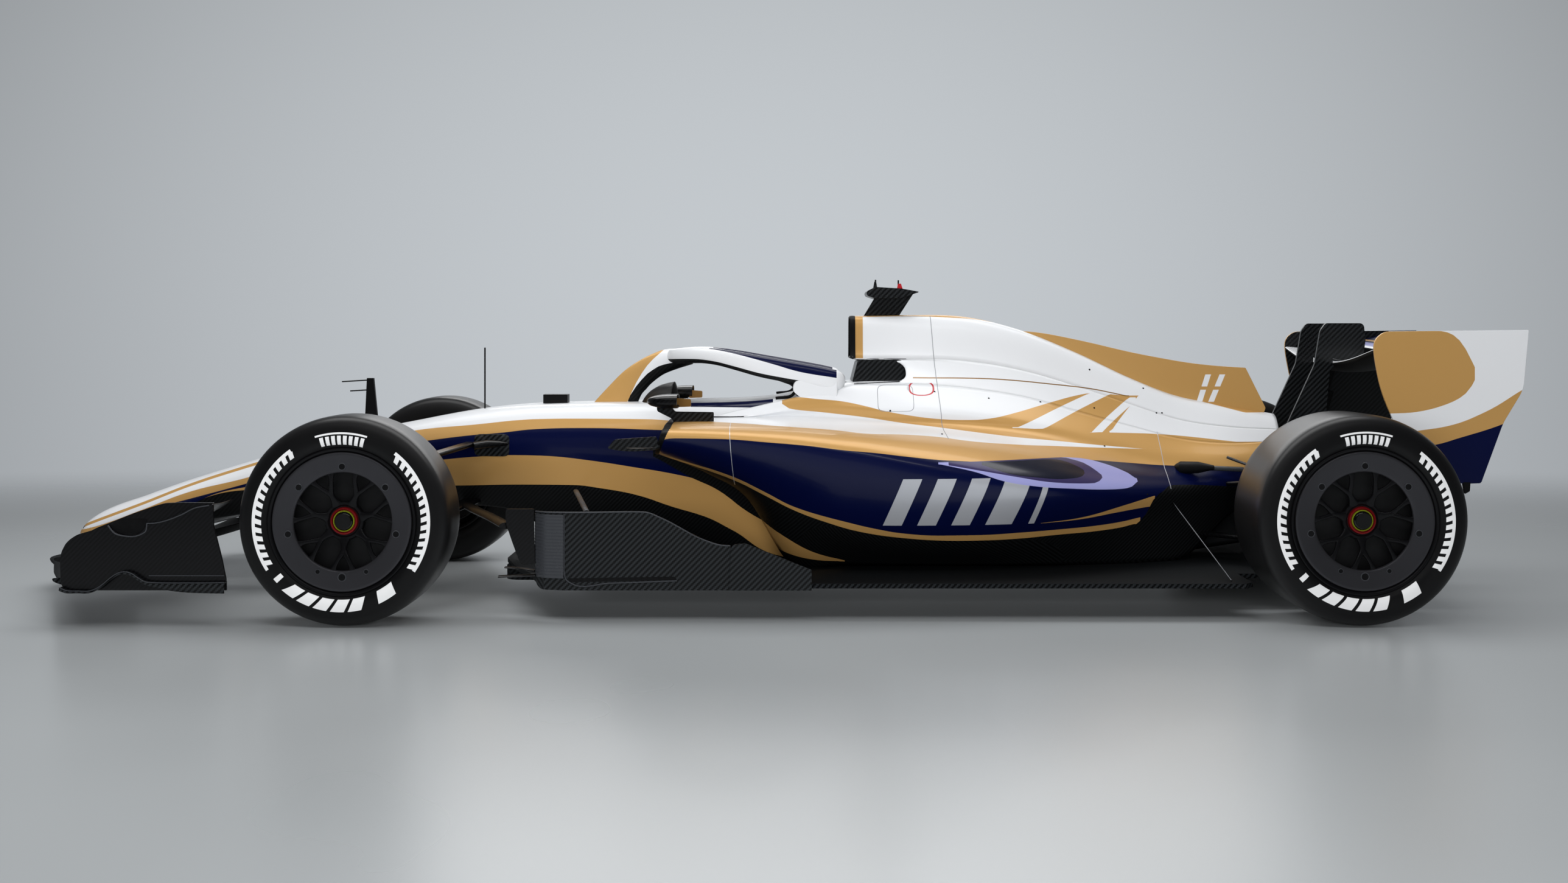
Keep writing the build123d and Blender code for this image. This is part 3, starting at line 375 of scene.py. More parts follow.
def twill(tree, tow=4.0):
    """Carbon cloth in a two-by-two twill, drawn with tows of the given width in mm, which is wider
    than the real 2 mm so that it still shows. The cloth lies along whichever two directions the
    surface faces least. Its value is 1 where the lengthwise tow is on top, which is where the tow
    numbers' difference leaves 0 or 1 when divided by 4, and 0 where it isn't."""
    place = add(tree, "TexCoord")
    facing = add(tree, "VectorMath", {0: place.outputs["Normal"]}, operation="ABSOLUTE")
    split = add(tree, "SeparateXYZ", {0: facing}).outputs
    where = add(tree, "SeparateXYZ", {0: place.outputs["Object"]}).outputs
    on_top = add(tree, "Math", {0: split[2], 1: FACING}, operation="GREATER_THAN")
    on_end = add(tree, "Math", {0: split[0], 1: FACING}, operation="GREATER_THAN")
    along = add(tree, "Mix", {0: on_end, 2: where[0], 3: where[1]})
    aside = add(tree, "Mix", {0: on_top, 2: where[2], 3: where[1]})
    steps = []
    for line in (along, aside):
        tow_number = add(tree, "Math", {0: line, 1: 1 / (tow * MM)}, operation="MULTIPLY")
        steps.append(add(tree, "Math", {0: tow_number}, operation="FLOOR"))
    shift = add(tree, "Math", {0: steps[0], 1: steps[1]}, operation="SUBTRACT")
    turn = add(tree, "Math", {0: shift, 1: 4.0}, operation="FLOORED_MODULO")
    return add(tree, "Math", {0: turn, 1: 1.5}, operation="LESS_THAN")


# The finishes of the livery: name, colour, metallic, roughness, share of bare carbon weave.
FINISHES = [
    ("carbon", "0b0c0d", 0.0, 0.62, 1.0),
    ("gold", "c2975a", 0.22, 0.38, 0.0),
    ("navy", "030930", 0.0, 0.30, 0.0),
    ("white", "d9dbde", 0.0, 0.34, 0.0),
    ("lavender", "9c9ed2", 0.1, 0.30, 0.0),
    ("silver", "c4c7ce", 0.40, 0.32, 0.0),
    ("seam", "83868b", 0.0, 0.60, 0.0),
    ("red", "b3202a", 0.0, 0.35, 0.0),
    ("deep gold", "8d6836", 0.35, 0.36, 0.0),
    # The next two rows are painted shade inside the pods' scoop, where the lavender is painted highlight.
    ("painted shade navy", "02051c", 0.0, 0.24, 0.0),
    ("painted shade plum", "332c55", 0.1, 0.30, 0.0),
]
NUMBER = {row[0]: number for number, row in enumerate(FINISHES)}
CURVE_START, CURVE_RUN, CURVE_RISE = -2.8, 5.6, 1.3  # metres that a paint line's unit square covers
LACQUER_COAT = 0.22  # weight of the clear coat over the paints
TOW_DARK, TOW_LIFT = 0.4, 1.5  # bare carbon's colour is scaled by the first, lengthwise tows by both summed
PEEL_SCALE, PEEL_DEPTH = 250.0, 0.00002  # orange peel: waves in a metre, and metres of depth


class Livery:
    """Two-pack lacquer over aluminium-flake gold, navy and white, sprayed to masked lines and
    clear-coated: smooth, deep and glossy, with sharp colour edges. Where it stops, the carbon is
    bare and satin, with no clear coat. Of the finishes laid on a place the last one shows."""

    def __init__(self, name, base):
        """A new livery with one finish all over."""
        self.material, self.tree, self.shader = new_material(
            name, {"Coat Roughness": 0.09, "IOR": 1.45, "Specular IOR Level": 0.35})
        place = add(self.tree, "TexCoord").outputs["Object"]
        self.x, self.y, self.z = add(self.tree, "SeparateXYZ", {0: place}).outputs
        self.along = add(
            self.tree, "MapRange", {0: self.x, 1: CURVE_START, 2: CURVE_START + CURVE_RUN}, clamp=False)
        self.up = add(self.tree, "Math", {0: self.z, 1: 1 / CURVE_RISE}, operation="MULTIPLY")
        self.top = NUMBER[base]

    def line(self, points, operation):
        """Whether a place is over or under a line drawn in side view through (x, z) in mm. Past
        its ends the line runs level."""
        curve = add(self.tree, "FloatCurve", {1: self.along})
        mapping = curve.mapping
        mapping.use_clip = False
        mapping.extend = "HORIZONTAL"
        dots = mapping.curves[0].points
        spots = [((x * MM - CURVE_START) / CURVE_RUN, z * MM / CURVE_RISE) for x, z in points]
        dots[0].location, dots[1].location = spots[0], spots[-1]
        for spot in spots[1:-1]:
            dots.new(*spot)
        for dot in dots:
            dot.handle_type = "AUTO_CLAMPED" if len(spots) > 2 else "VECTOR"
        mapping.update()
        return add(self.tree, "Math", {0: self.up, 1: curve}, operation=operation)

    def over(self, *points):
        """Places over a line through (x, z) in mm."""
        return self.line(points, "GREATER_THAN")

    def under(self, *points):
        """Places under a line through (x, z) in mm."""
        return self.line(points, "LESS_THAN")

    def facing_down(self, limit):
        """Places whose outward normal has an upward share under the limit."""
        normal = add(self.tree, "NewGeometry").outputs["Normal"]
        upward = add(self.tree, "SeparateXYZ", {0: normal}).outputs[2]
        return add(self.tree, "Math", {0: upward, 1: limit}, operation="LESS_THAN")

    def between(self, place, low, high):
        """Places whose coordinate lies between two values in mm."""
        middle, half = (low + high) / 2 * MM, (high - low) / 2 * MM
        return add(self.tree, "Math", {0: place, 1: middle, 2: half}, operation="COMPARE")

    def span(self, low, high):
        """Places between two stations along the car, in mm."""
        return self.between(self.x, low, high)

    def bar(self, foot_x, top_x, width, low_z, high_z):
        """A bar with level ends that leans from its foot to its top, its width along the car."""
        lean = (top_x - foot_x) / (high_z - low_z)
        start = (foot_x - lean * low_z) * MM
        axis = add(self.tree, "Math", {0: self.z, 1: lean, 2: start}, operation="MULTIPLY_ADD")
        near = add(self.tree, "Math", {0: self.x, 1: axis, 2: width / 2 * MM}, operation="COMPARE")
        level = self.between(self.z, low_z, high_z)
        return add(self.tree, "Math", {0: near, 1: level}, operation="MULTIPLY")

    def ring(self, x, z, half_x, half_z, power, width):
        """A line round a superellipse in side view: the sum of |dx / half_x|^power and
        |dz / half_z|^power is 1 within a tolerance that gives the line its width."""
        tree, total = self.tree, 0.0
        for place, middle, half in ((self.x, x, half_x), (self.z, z, half_z)):
            off = add(tree, "Math", {0: place, 1: 1 / (half * MM), 2: -middle / half},
                      operation="MULTIPLY_ADD")
            size = add(tree, "Math", {0: off}, operation="ABSOLUTE")
            part = add(tree, "Math", {0: size, 1: power}, operation="POWER")
            total = add(tree, "Math", {0: part, 1: total}, operation="ADD")
        tolerance = power * width / (half_x + half_z)
        return add(tree, "Math", {0: total, 1: 1.0, 2: tolerance}, operation="COMPARE")

    def lay(self, finish, *masks):
        """Lays a finish where every mask is 1."""
        mask = masks[0]
        for other in masks[1:]:
            mask = add(self.tree, "Math", {0: mask, 1: other}, operation="MULTIPLY")
        self.top = add(self.tree, "Mix", {0: mask, 2: self.top, 3: float(NUMBER[finish])})

    def dry(self):
        """Looks up colour, metal, roughness and weave for the finish that shows, coats all but the
        bare carbon, and adds the faint orange peel of sprayed lacquer, 4 mm across."""
        tree, shader = self.tree, self.shader
        share = 1 / len(FINISHES)
        index = add(tree, "Math", {0: self.top, 1: share, 2: share / 2}, operation="MULTIPLY_ADD")
        looks = []
        for column in (1, 2, 3, 4):
            ramp = add(tree, "ValToRGB", {0: index})
            ramp.color_ramp.interpolation = "CONSTANT"
            stops = ramp.color_ramp.elements
            for number, row in enumerate(FINISHES):
                stop = stops[number] if number < 2 else stops.new(number * share)
                stop.position = number * share
                stop.color = linear(row[1]) if column == 1 else (row[column],) * 3 + (1,)
            looks.append(ramp)
        cloth = twill(tree)
        tows = add(tree, "Math", {0: cloth, 1: TOW_LIFT, 2: TOW_DARK}, operation="MULTIPLY_ADD")
        shade = add(tree, "Mix", {0: looks[3], 2: 1.0, 3: tows})
        place = add(tree, "TexCoord").outputs["Object"]
        peel = add(tree, "TexNoise", {"Vector": place, "Scale": PEEL_SCALE, "Detail": 1.0})
        feed(tree, shader, {
            "Base Color": add(tree, "VectorMath", {0: looks[0], 3: shade}, operation="SCALE"),
            "Metallic": looks[1],
            "Roughness": looks[2],
            "Coat Weight": add(tree, "Math", {0: looks[3], 1: -LACQUER_COAT, 2: LACQUER_COAT},
                               operation="MULTIPLY_ADD"),
            "Normal": add(tree, "Bump", {"Height": peel, "Strength": 0.5, "Distance": PEEL_DEPTH}),
        })
        return self.material


def cell_paint():
    """The nose and survival cell: white over a gold sweep, a navy flank, a lower gold sweep and
    bare carbon below."""
    paint = Livery("lacquered cell", "carbon")
    # From the foot up: gold, navy, gold and white, each over its own line.
    paint.lay("gold", paint.over(
        (-2640, 190), (-2341, 240), (-2060, 369), (-1955, 384), (-1560, 395), (-1290, 402), (-1150, 403),
        (-930, 409), (-704, 411), (-590, 399), (-473, 379), (-324, 332), (-198, 294), (-101, 245), (113, 141),
        (312, 136)))
    paint.lay("navy", paint.over(
        (-2640, 191), (-2341, 242), (-2060, 372), (-1955, 395), (-1560, 455), (-1290, 497), (-1199, 504),
        (-1081, 515), (-930, 523), (-791, 521), (-624, 504), (-473, 482), (-324, 458), (-213, 431), (28, 292),
        (156, 198), (312, 137)))
    paint.lay("gold", paint.over(
        (-2622, 200), (-2514, 238), (-2363, 298), (-2162, 352), (-1960, 406), (-1897, 424), (-1560, 528),
        (-1267, 573), (-1081, 597), (-967, 607), (-852, 620), (-624, 626), (-369, 620)))
    paint.lay("white", paint.over(
        (-2600, 226), (-2514, 249), (-2363, 304), (-2162, 379), (-1960, 428), (-1897, 447), (-1560, 560),
        (-1290, 614), (-1081, 635), (-852, 657), (-624, 660), (-405, 659), (-326, 654)))
    # Gold piping along the nose, the navy rim of the cockpit, and the bare undercut with the seam.
    piping = [
        (-2600, 234), (-2514, 266), (-2363, 322), (-2162, 400), (-1960, 465), (-1897, 484), (-1560, 586)]
    paint.lay("gold", paint.over(*piping), paint.under(*[(x, z + 11) for x, z in piping]),
              paint.span(-2600, -1560))
    paint.lay("navy", paint.over((-260, 704), (50, 702)), paint.span(-258, 50))
    paint.lay("carbon", paint.over(
        (-400, 525), (-367, 508), (-262, 448), (-165, 403), (-42, 314), (90, 240), (210, 170)),
        paint.under((-400, 545), (-330, 575)), paint.span(-395, 330))
    paint.lay("seam", paint.span(*NOSE_SEAM))
    return paint.dry()


def lining_paint():
    """The inside of the cell: bare carbon, with the white carried over the cockpit's rim."""
    paint = Livery("lacquered cell lining", "carbon")
    paint.lay("white", paint.over((-460, 672), (340, 672)))
    return paint.dry()


def cover_paint():
    """The side pods and engine cover: white above, two gold sweeps, a navy flank with plain silver bars and a
    scoop drawn in painted highlight and painted shade, gold piping along its lower edge and bare carbon
    behind and below."""
    paint = Livery("lacquered cover", "white")
    # The gold below the white, and the crescent that narrows to a point in front.
    paint.lay("gold", paint.under(
        (-297, 664), (-106, 662), (78, 653), (284, 637), (373, 628), (514, 620), (655, 608), (725, 598),
        (799, 589), (946, 575), (1094, 564), (1244, 554), (1443, 544)))
    paint.lay("gold", paint.under(
        (84, 727), (87, 733), (99, 739), (134, 743), (215, 736), (296, 729), (388, 711), (460, 693),
        (532, 679), (676, 661), (790, 658), (857, 663), (951, 681), (1045, 704), (1118, 722), (1211, 743),
        (1263, 750), (1410, 740)), paint.over(
        (84, 727), (87, 717), (99, 705), (134, 697), (215, 689), (296, 680), (388, 669), (530, 648),
        (670, 632), (811, 614), (954, 596), (1098, 581), (1247, 564), (1443, 544)), paint.span(84, 2100))
    # White slashes across the gold, and the pinstripe over it.
    paint.lay("white", paint.under((958, 629), (1263, 752)), paint.over((1056, 622), (1349, 750)),
              paint.over((958, 628), (1056, 622)), paint.span(940, 1350))
    paint.lay("white", paint.under((1245, 606), (1418, 736)), paint.over((1288, 605), (1440, 720)),
              paint.over((1245, 606), (1288, 605)), paint.span(1240, 1441))
    paint.lay("white", paint.under((1323, 605), (1470, 758)),
              paint.over((1320, 605), (1530, 595), (1822, 565)), paint.span(1320, 2100))
    pinstripe = [(577, 814), (869, 809), (1126, 786), (1273, 768), (1344, 754), (1410, 740)]
    paint.lay("deep gold", paint.under(*pinstripe), paint.over(*[(x, z - 4) for x, z in pinstripe]),
              paint.span(577, 1415))
    # The navy flank with its bars, and below it gold piping and bare carbon.
    paint.lay("navy", paint.under(
        (-330, 612), (-289, 618), (-104, 616), (28, 606), (180, 593), (292, 579), (408, 568), (504, 556),
        (626, 542), (708, 536), (806, 528), (847, 524), (908, 524), (995, 525), (1071, 525), (1225, 514),
        (1380, 497), (1507, 485), (1824, 472)))
    paint.lay("gold", paint.under((1003, 306), (1149, 319), (1300, 351), (1444, 384)),
              paint.over((1003, 305), (1149, 313), (1300, 331), (1429, 344)), paint.span(1003, 1450))
    for foot, top, width in ((470, 534, 66), (590, 654, 66), (710, 774, 66), (846, 910, 96), (966, 1018, 22)):
        paint.lay("silver", paint.bar(foot, top, width, 306, 478))
    paint.lay("gold", paint.under(
        (-317, 545), (-103, 482), (27, 421), (131, 369), (312, 317), (415, 292), (512, 275), (650, 266),
        (789, 266), (932, 271), (1076, 277), (1227, 284), (1338, 294), (1396, 304)), paint.span(-400, 1400))
    paint.lay("carbon", paint.under(
        (-317, 537), (-103, 469), (27, 407), (131, 355), (234, 317), (374, 277), (512, 257), (650, 246),
        (789, 244), (932, 247), (1076, 256), (1227, 262), (1338, 272), (1372, 280)))
    # The scoop is only painted on the smooth flank, with no hollow: from its rim inward, a lavender crescent
    # of painted highlight, then plum and deep navy as painted shade.
    paint.lay("lavender", paint.over(
        (624, 529), (748, 501), (868, 463), (988, 443), (1108, 431), (1228, 421), (1316, 418), (1348, 421),
        (1372, 430), (1386, 442)), paint.under(
        (624, 534), (1100, 530), (1136, 527), (1188, 521), (1268, 501), (1330, 478), (1366, 460),
        (1386, 442)), paint.span(624, 1386))
    paint.lay("painted shade plum", paint.over(
        (660, 524), (812, 496), (908, 478), (1028, 457), (1148, 446), (1200, 444), (1224, 449), (1241, 462)),
        paint.under((660, 534), (1100, 530), (1140, 521), (1180, 509), (1208, 493), (1228, 478), (1241, 462)),
        paint.span(660, 1241))
    paint.lay("painted shade navy", paint.over(
        (780, 522), (812, 511), (884, 488), (988, 473), (1092, 464), (1145, 465), (1165, 471), (1173, 481)),
        paint.under((780, 530), (1060, 527), (1140, 505), (1165, 491), (1173, 481)), paint.span(780, 1173))
    # Gold in the undercut, bare carbon at the tail, and gold along the spine and the duct's mouth.
    paint.lay("gold", paint.under((-160, 414), (-39, 327), (91, 249), (208, 186), (315, 152)), paint.over(
        (-307, 352), (-83, 249), (47, 198), (208, 157), (315, 148)), paint.span(-160, 312))
    paint.lay("carbon", paint.under(
        (1380, 273), (1415, 305), (1433, 345), (1451, 377), (1473, 394), (1498, 405), (1522, 418),
        (1824, 401)), paint.span(1380, 2100))
    paint.lay("gold", paint.over(
        (390, 1042), (560, 1045), (700, 1041), (850, 1030), (980, 1002), (1299, 872), (1601, 748),
        (1873, 672)), paint.span(392, 2100))
    paint.lay("gold", paint.over((300, 884), (440, 884)), paint.span(364, 393))
    # The gaps between panels, a hatch's outline and an unmarked ring.
    paint.lay("seam", paint.bar(678, 652, 2.6, 603, 1046))
    paint.lay("silver", paint.bar(-84, -98, 2.2, 440, 662))
    paint.lay("silver", paint.bar(1520, 1512, 2.4, 405, 606))
    paint.lay("seam", paint.ring(506, 738, 67, 48, 6.0, 1.8))
    paint.lay("red", paint.ring(606, 773, 46, 25, 2.6, 5.0), paint.under((500, 792), (700, 792)))
    return paint.dry()


def fin_paint():
    """The fin on the spine: gold flake with two pairs of slanted white dashes."""
    paint = Livery("lacquered fin", "gold")
    low_z, rise, width = 714, 106, 22
    for foot, top in ((1700, 1734), (1745, 1789)):
        for start, end in ((0.0, 0.44), (0.56, 1.0)):
            paint.lay("white", paint.bar(foot + (top - foot) * start, foot + (top - foot) * end, width,
                                         low_z + rise * start, low_z + rise * end))
    return paint.dry()


def hoop_paint():
    """The halo: a gold pillar with a white sweep up to the crown, white arms with navy tops, and
    bare carbon on the pillar's back and underneath."""
    paint = Livery("lacquered halo", "white")
    paint.lay("gold", paint.over((-520, 690), (-502, 743), (-470, 806), (-430, 864), (-368, 921)),
              paint.span(-760, -366))
    paint.lay("carbon", paint.under(
        (-512, 690), (-502, 743), (-473, 783), (-425, 832), (-368, 860), (-250, 876)), paint.span(-512, -250))
    paint.lay("carbon", paint.facing_down(-0.35), paint.span(-420, 150))
    paint.lay("navy", paint.over(
        (-190, 922), (-150, 915), (-100, 905), (-44, 891), (54, 864), (152, 836), (285, 814)),
        paint.span(-190, 286))
    return paint.dry()


def wing_plate_paint():
    """The rear endplates: a rounded gold drop, white round it, a gold band and a navy lower corner."""
    paint = Livery("lacquered wing plate", "white")
    paint.lay("gold", paint.under(
        (2170, 986), (2420, 988), (2448, 984), (2479, 968), (2504, 940), (2529, 899), (2543, 864),
        (2548, 836)), paint.over(
        (2180, 692), (2266, 695), (2316, 697), (2379, 707), (2435, 723), (2479, 741), (2510, 761),
        (2533, 786), (2544, 811), (2548, 836)), paint.span(2100, 2548))
    paint.lay("gold", paint.under((2200, 606), (2333, 631), (2452, 650), (2570, 693), (2719, 780)))
    paint.lay("navy", paint.under((2200, 560), (2400, 582), (2491, 607), (2640, 654), (2719, 690)))
    return paint.dry()


def wing_blade_paint(name, base, *sweeps):
    """A wing element: lacquered above with sweeps of other colours, bare carbon underneath."""
    paint = Livery(name, base)
    for finish, low, high in sweeps:
        paint.lay(finish, paint.span(low, high))
    paint.lay("carbon", paint.facing_down(0.0))
    return paint.dry()


def carbon_cloth(name, rough=0.36, coat=0.3, colour="08090a", tow=5.0, contrast=5.0, shine=0.35):
    """Carbon fibre cloth in epoxy, laid in a mould: near black, with a fine diagonal weave that
    flickers between two greys, under a coat of clear lacquer whose weight may be none. The contrast
    is how many times brighter than the colour the lengthwise tows are."""
    material, tree, shader = new_material(
        name, {"Coat Weight": coat, "Coat Roughness": 0.15, "Specular IOR Level": shine})
    cloth = twill(tree, tow)
    tone = add(tree, "Mix", {0: cloth, 6: linear(colour, 0.6), 7: linear(colour, contrast)}, data_type="RGBA")
    dull = add(tree, "Math", {0: cloth, 1: 0.1, 2: rough}, operation="MULTIPLY_ADD")
    feed(tree, shader, {"Base Color": tone.outputs[2], "Roughness": dull})
    return material


# Generic white marks on a tyre's wall. Columns: start and end in degrees from straight aft and up,
# low and high radius in mm, dashes, share of each that is filled, lean in dashes per mm.
TYRE_MARKS = [
    (74, 106, 258, 288, 8, 0.64, 0.0),
    (73, 107, 293, 299, 1, 1.1, 0.0),
    (125, 213, 285, 296, 1, 1.1, 0.0),
    (125, 213, 265, 286, 15, 0.60, 0.012),
    (-34, 52, 285, 296, 1, 1.1, 0.0),
    (-34, 52, 265, 286, 15, 0.60, -0.012),
    (220, 227, 262, 292, 1, 0.5, 0.0),
    (231, 288, 257, 298, 5, 0.78, 0.010),
    (296, 310, 257, 298, 1, 0.92, 0.004),
]
BETWEEN_AXLES = 0.3  # metres, a station between the front and the rear wheels
WALL_FROM = 0.85  # metres off the middle, past which only the outer walls lie
TREAD_FROM, TREAD_TO = 0.318, 0.346  # metres, radii between which the wall's tone turns to the tread's


def tyre_rubber():
    """Moulded slick rubber: near black and faintly satin, greyer on the tread, where the grey is partly the
    rubber's own and partly painted sheen, with generic white bands and dashes printed on the wall. Marks are
    placed about the nearer axle."""
    material, tree, shader = new_material("slick rubber", {"Specular IOR Level": 0.35})
    place = add(tree, "TexCoord").outputs["Object"]
    station = add(tree, "SeparateXYZ", {0: place}).outputs[0]
    rear = add(tree, "Math", {0: station, 1: BETWEEN_AXLES}, operation="GREATER_THAN")
    centres = [tuple(AXLES[f"spin_{end}_left"] * [MM, 0, MM]) for end in ("front", "rear")]
    centre = add(tree, "Mix", {0: rear, 4: centres[0], 5: centres[1]}, data_type="VECTOR")
    hub = add(tree, "VectorMath", {0: place, 1: centre.outputs[1]}, operation="SUBTRACT")
    x, y, z = add(tree, "SeparateXYZ", {0: hub}).outputs
    flat = add(tree, "CombineXYZ", {0: x, 2: z})
    radius = add(tree, "VectorMath", {0: flat}, operation="LENGTH").outputs["Value"]
    angle = add(tree, "Math", {0: z, 1: x}, operation="ARCTAN2")
    marked = 0.0
    for start, end, low, high, dashes, share, lean in TYRE_MARKS:
        middle, run = np.radians((start + end) / 2), np.radians(end - start)
        mid_radius, half = (low + high) / 2, (high - low) / 2
        turn = add(tree, "Math", {0: angle, 1: middle}, operation="SUBTRACT")
        near = add(tree, "Math", {0: turn, 1: np.pi, 2: -np.pi}, operation="WRAP")
        ring = add(tree, "Math", {0: radius, 1: mid_radius * MM, 2: half * MM}, operation="COMPARE")
        count = add(tree, "Math", {0: near, 1: dashes / run, 2: dashes / 2}, operation="MULTIPLY_ADD")
        slant = add(tree, "Math", {0: radius, 1: lean / MM, 2: count}, operation="MULTIPLY_ADD")
        group = add(tree, "Math", {0: slant, 1: dashes / 2 + lean * mid_radius, 2: dashes / 2},
                    operation="COMPARE")
        level = add(tree, "Math", {0: slant, 1: -lean * mid_radius}, operation="ADD")
        part = add(tree, "Math", {0: level}, operation="FRACT")
        dash = add(tree, "Math", {0: part, 1: share}, operation="LESS_THAN")
        row = add(tree, "Math", {0: group, 1: ring}, operation="MULTIPLY")
        marked = add(tree, "Math", {0: row, 1: dash, 2: marked}, operation="MULTIPLY_ADD")
    off_middle = add(tree, "Math", {0: y}, operation="ABSOLUTE")
    outer = add(tree, "Math", {0: off_middle, 1: WALL_FROM}, operation="GREATER_THAN")
    once = add(tree, "Math", {0: marked, 1: 1.0}, operation="MINIMUM")
    printed = add(tree, "Math", {0: once, 1: outer}, operation="MULTIPLY")
    tread = add(tree, "MapRange", {0: radius, 1: TREAD_FROM, 2: TREAD_TO})
    cloud = add(tree, "TexNoise", {"Vector": place, "Scale": 9.0, "Detail": 6.0})
    wall = add(tree, "Mix", {0: cloud, 6: linear("080809"), 7: linear("0e0e0f")}, data_type="RGBA")
    # The tread's lighter grey is partly painted sheen.
    tone = add(tree, "Mix", {0: tread, 6: wall.outputs[2], 7: linear("161617")}, data_type="RGBA")
    colour = add(tree, "Mix", {0: printed, 6: tone.outputs[2], 7: linear("dfe0e1")}, data_type="RGBA")
    grain(tree, shader, 1.2, 0.04)
    rough = add(tree, "Mix", {0: tread, 2: 0.50, 3: 0.36})
    feed(tree, shader, {"Base Color": colour.outputs[2], "Roughness": rough})
    return material


def grained(name, colour, rough, size=0.8, depth=0.03, **sheen):
    """A surface of one colour with a fine grain, its size and depth in mm, and patches of roughness
    between two values. Sheen gives the shader's other plain values, its names written with _."""
    feeds = {key.replace("_", " "): value for key, value in sheen.items()}
    material, tree, shader = new_material(name, {"Base Color": linear(colour), **feeds})
    grain(tree, shader, size, depth, rough)
    return material


# Cloth in epoxy under clear lacquer: near black, a weave that flickers, soft gloss.
CARBON = carbon_cloth("carbon cloth, lacquered")
# The same cloth as it leaves the mould: the weave shows most, with hardly any shine.
DULL_CARBON = carbon_cloth("carbon cloth, satin", 0.6, 0.0, contrast=6.0, shine=0.12)
# Cloth of wide tows under a thin coat: a bolder weave, half dull.
COARSE_CARBON = carbon_cloth("carbon cloth, coarse tows", 0.5, 0.10, contrast=7.0)
# Sprayed gloss black over carbon: the weave barely shows, edges catch the light.
GLOSS_CARBON = carbon_cloth("carbon under black lacquer", 0.32, 0.35, "050506", 4.0, 2.4, 0.25)
RUBBER = tyre_rubber()
# Forged magnesium, shot and painted: dark, smooth and satin, the rings a little greyer.
WHEEL_BLACK = grained("forged magnesium, black", "151517", (0.26, 0.36), 0.6, 0.02, Metallic=0.6)
RING_BLACK = grained("forged magnesium, satin ring", "101012", (0.28, 0.40), 0.6, 0.02, Metallic=0.5)
RING_SATIN = grained("forged magnesium, satin grey", "444448", (0.32, 0.42), 0.6, 0.02, Metallic=0.75)
# Cast aluminium: light grey with a fine blasted grain.
CAST = grained("cast aluminium, blasted", "6d6f73", (0.42, 0.6), 1.0, 0.05, Metallic=1.0)
# Nickel alloy sheet that has been hot: straw and grey tints.
HOT_STEEL = grained("heat-stained alloy", "84786a", (0.3, 0.5), 3.0, 0.02, Metallic=1.0)
# Back-silvered mirror glass: clean and almost free of grain.
GLASS = grained("silvered glass", "c9d2da", (0.03, 0.06), 5.0, 0.0, Metallic=1.0)
# Carbon brake drum with dust on it: black and dull.
DRUM = grained("brake drum carbon, dusty", "0a0a0b", (0.5, 0.7))
# Brake bell, turned from steel and browned by heat: dark, with a warm glint.
BRAKE = grained("brake bell, hot-stained", "1c1614", (0.3, 0.5), Metallic=0.7)
# Anodised aluminium nuts: a thin clear skin of colour over bright metal, black as glass.
NUT_BLACK = grained("anodised nut, black", "060607", (0.07, 0.12), Coat_Weight=0.3)
NUT_RED = grained("anodised nut, red", "7a1418", (0.2, 0.3), Metallic=0.6)
NUT_LIME = grained("anodised nut, lime", "93a326", (0.2, 0.3), Metallic=0.6)
RED = grained("anodised red", "b21a22", (0.25, 0.35))
# Mid grey on the rods along the endplates' and boards' edges, the board's slats and the ports' rims: painted
# highlight where those edges catch the light. The outlet tubes are this grey too.
EDGE = grained("grey edge, painted highlight", "34363a", (0.25, 0.35))
# Dull black in the ports' dishes and the front endplates' dip: painted shade where a hollow would be dark.
SHADE = grained("black, painted shade", "050506", (0.7, 0.9))
# Dark metallic gold on a small plate at the inner back of each mirror: a painted reflection of gold seen in
# the glass.
GOLD_REFLECTION = grained("gold, painted reflection", "8a6634", (0.3, 0.4), Metallic=0.4)
# Moulded nylon: black, even and satin.
SATIN_BLACK = grained("moulded nylon, black", "0b0b0c", (0.42, 0.58), Specular_IOR_Level=0.25)
# Foam under cloth: a soft black that is dull from every side.
FOAM = grained("foam under cloth, black", "17181a", (0.75, 0.9), 1.5, 0.2)
# Glass laminate board, sawn and scuffed: dull brown.
PLANK = grained("glass laminate board", "2a2420", (0.6, 0.8), 2.0, 0.1)
# Moulded clear plastic: deep red, smooth, and partly lit through.
LENS = grained("clear red lens", "8c0d12", (0.08, 0.15), Transmission_Weight=0.25)
# The lacquered panels, each with its own masks.
CELL_PAINT = cell_paint()
LINING_PAINT = lining_paint()
COVER_PAINT = cover_paint()
FIN_PAINT = fin_paint()
HOOP_PAINT = hoop_paint()
PLATE_PAINT = wing_plate_paint()
MAIN_BLADE_PAINT = wing_blade_paint("lacquered main plane", "white", ("carbon", 2380, 2440))
FLAP_PAINT = wing_blade_paint(
    "lacquered flap", "navy", ("white", 2400, 2436), ("lavender", 2436, 2480), ("gold", 2500, 2516))


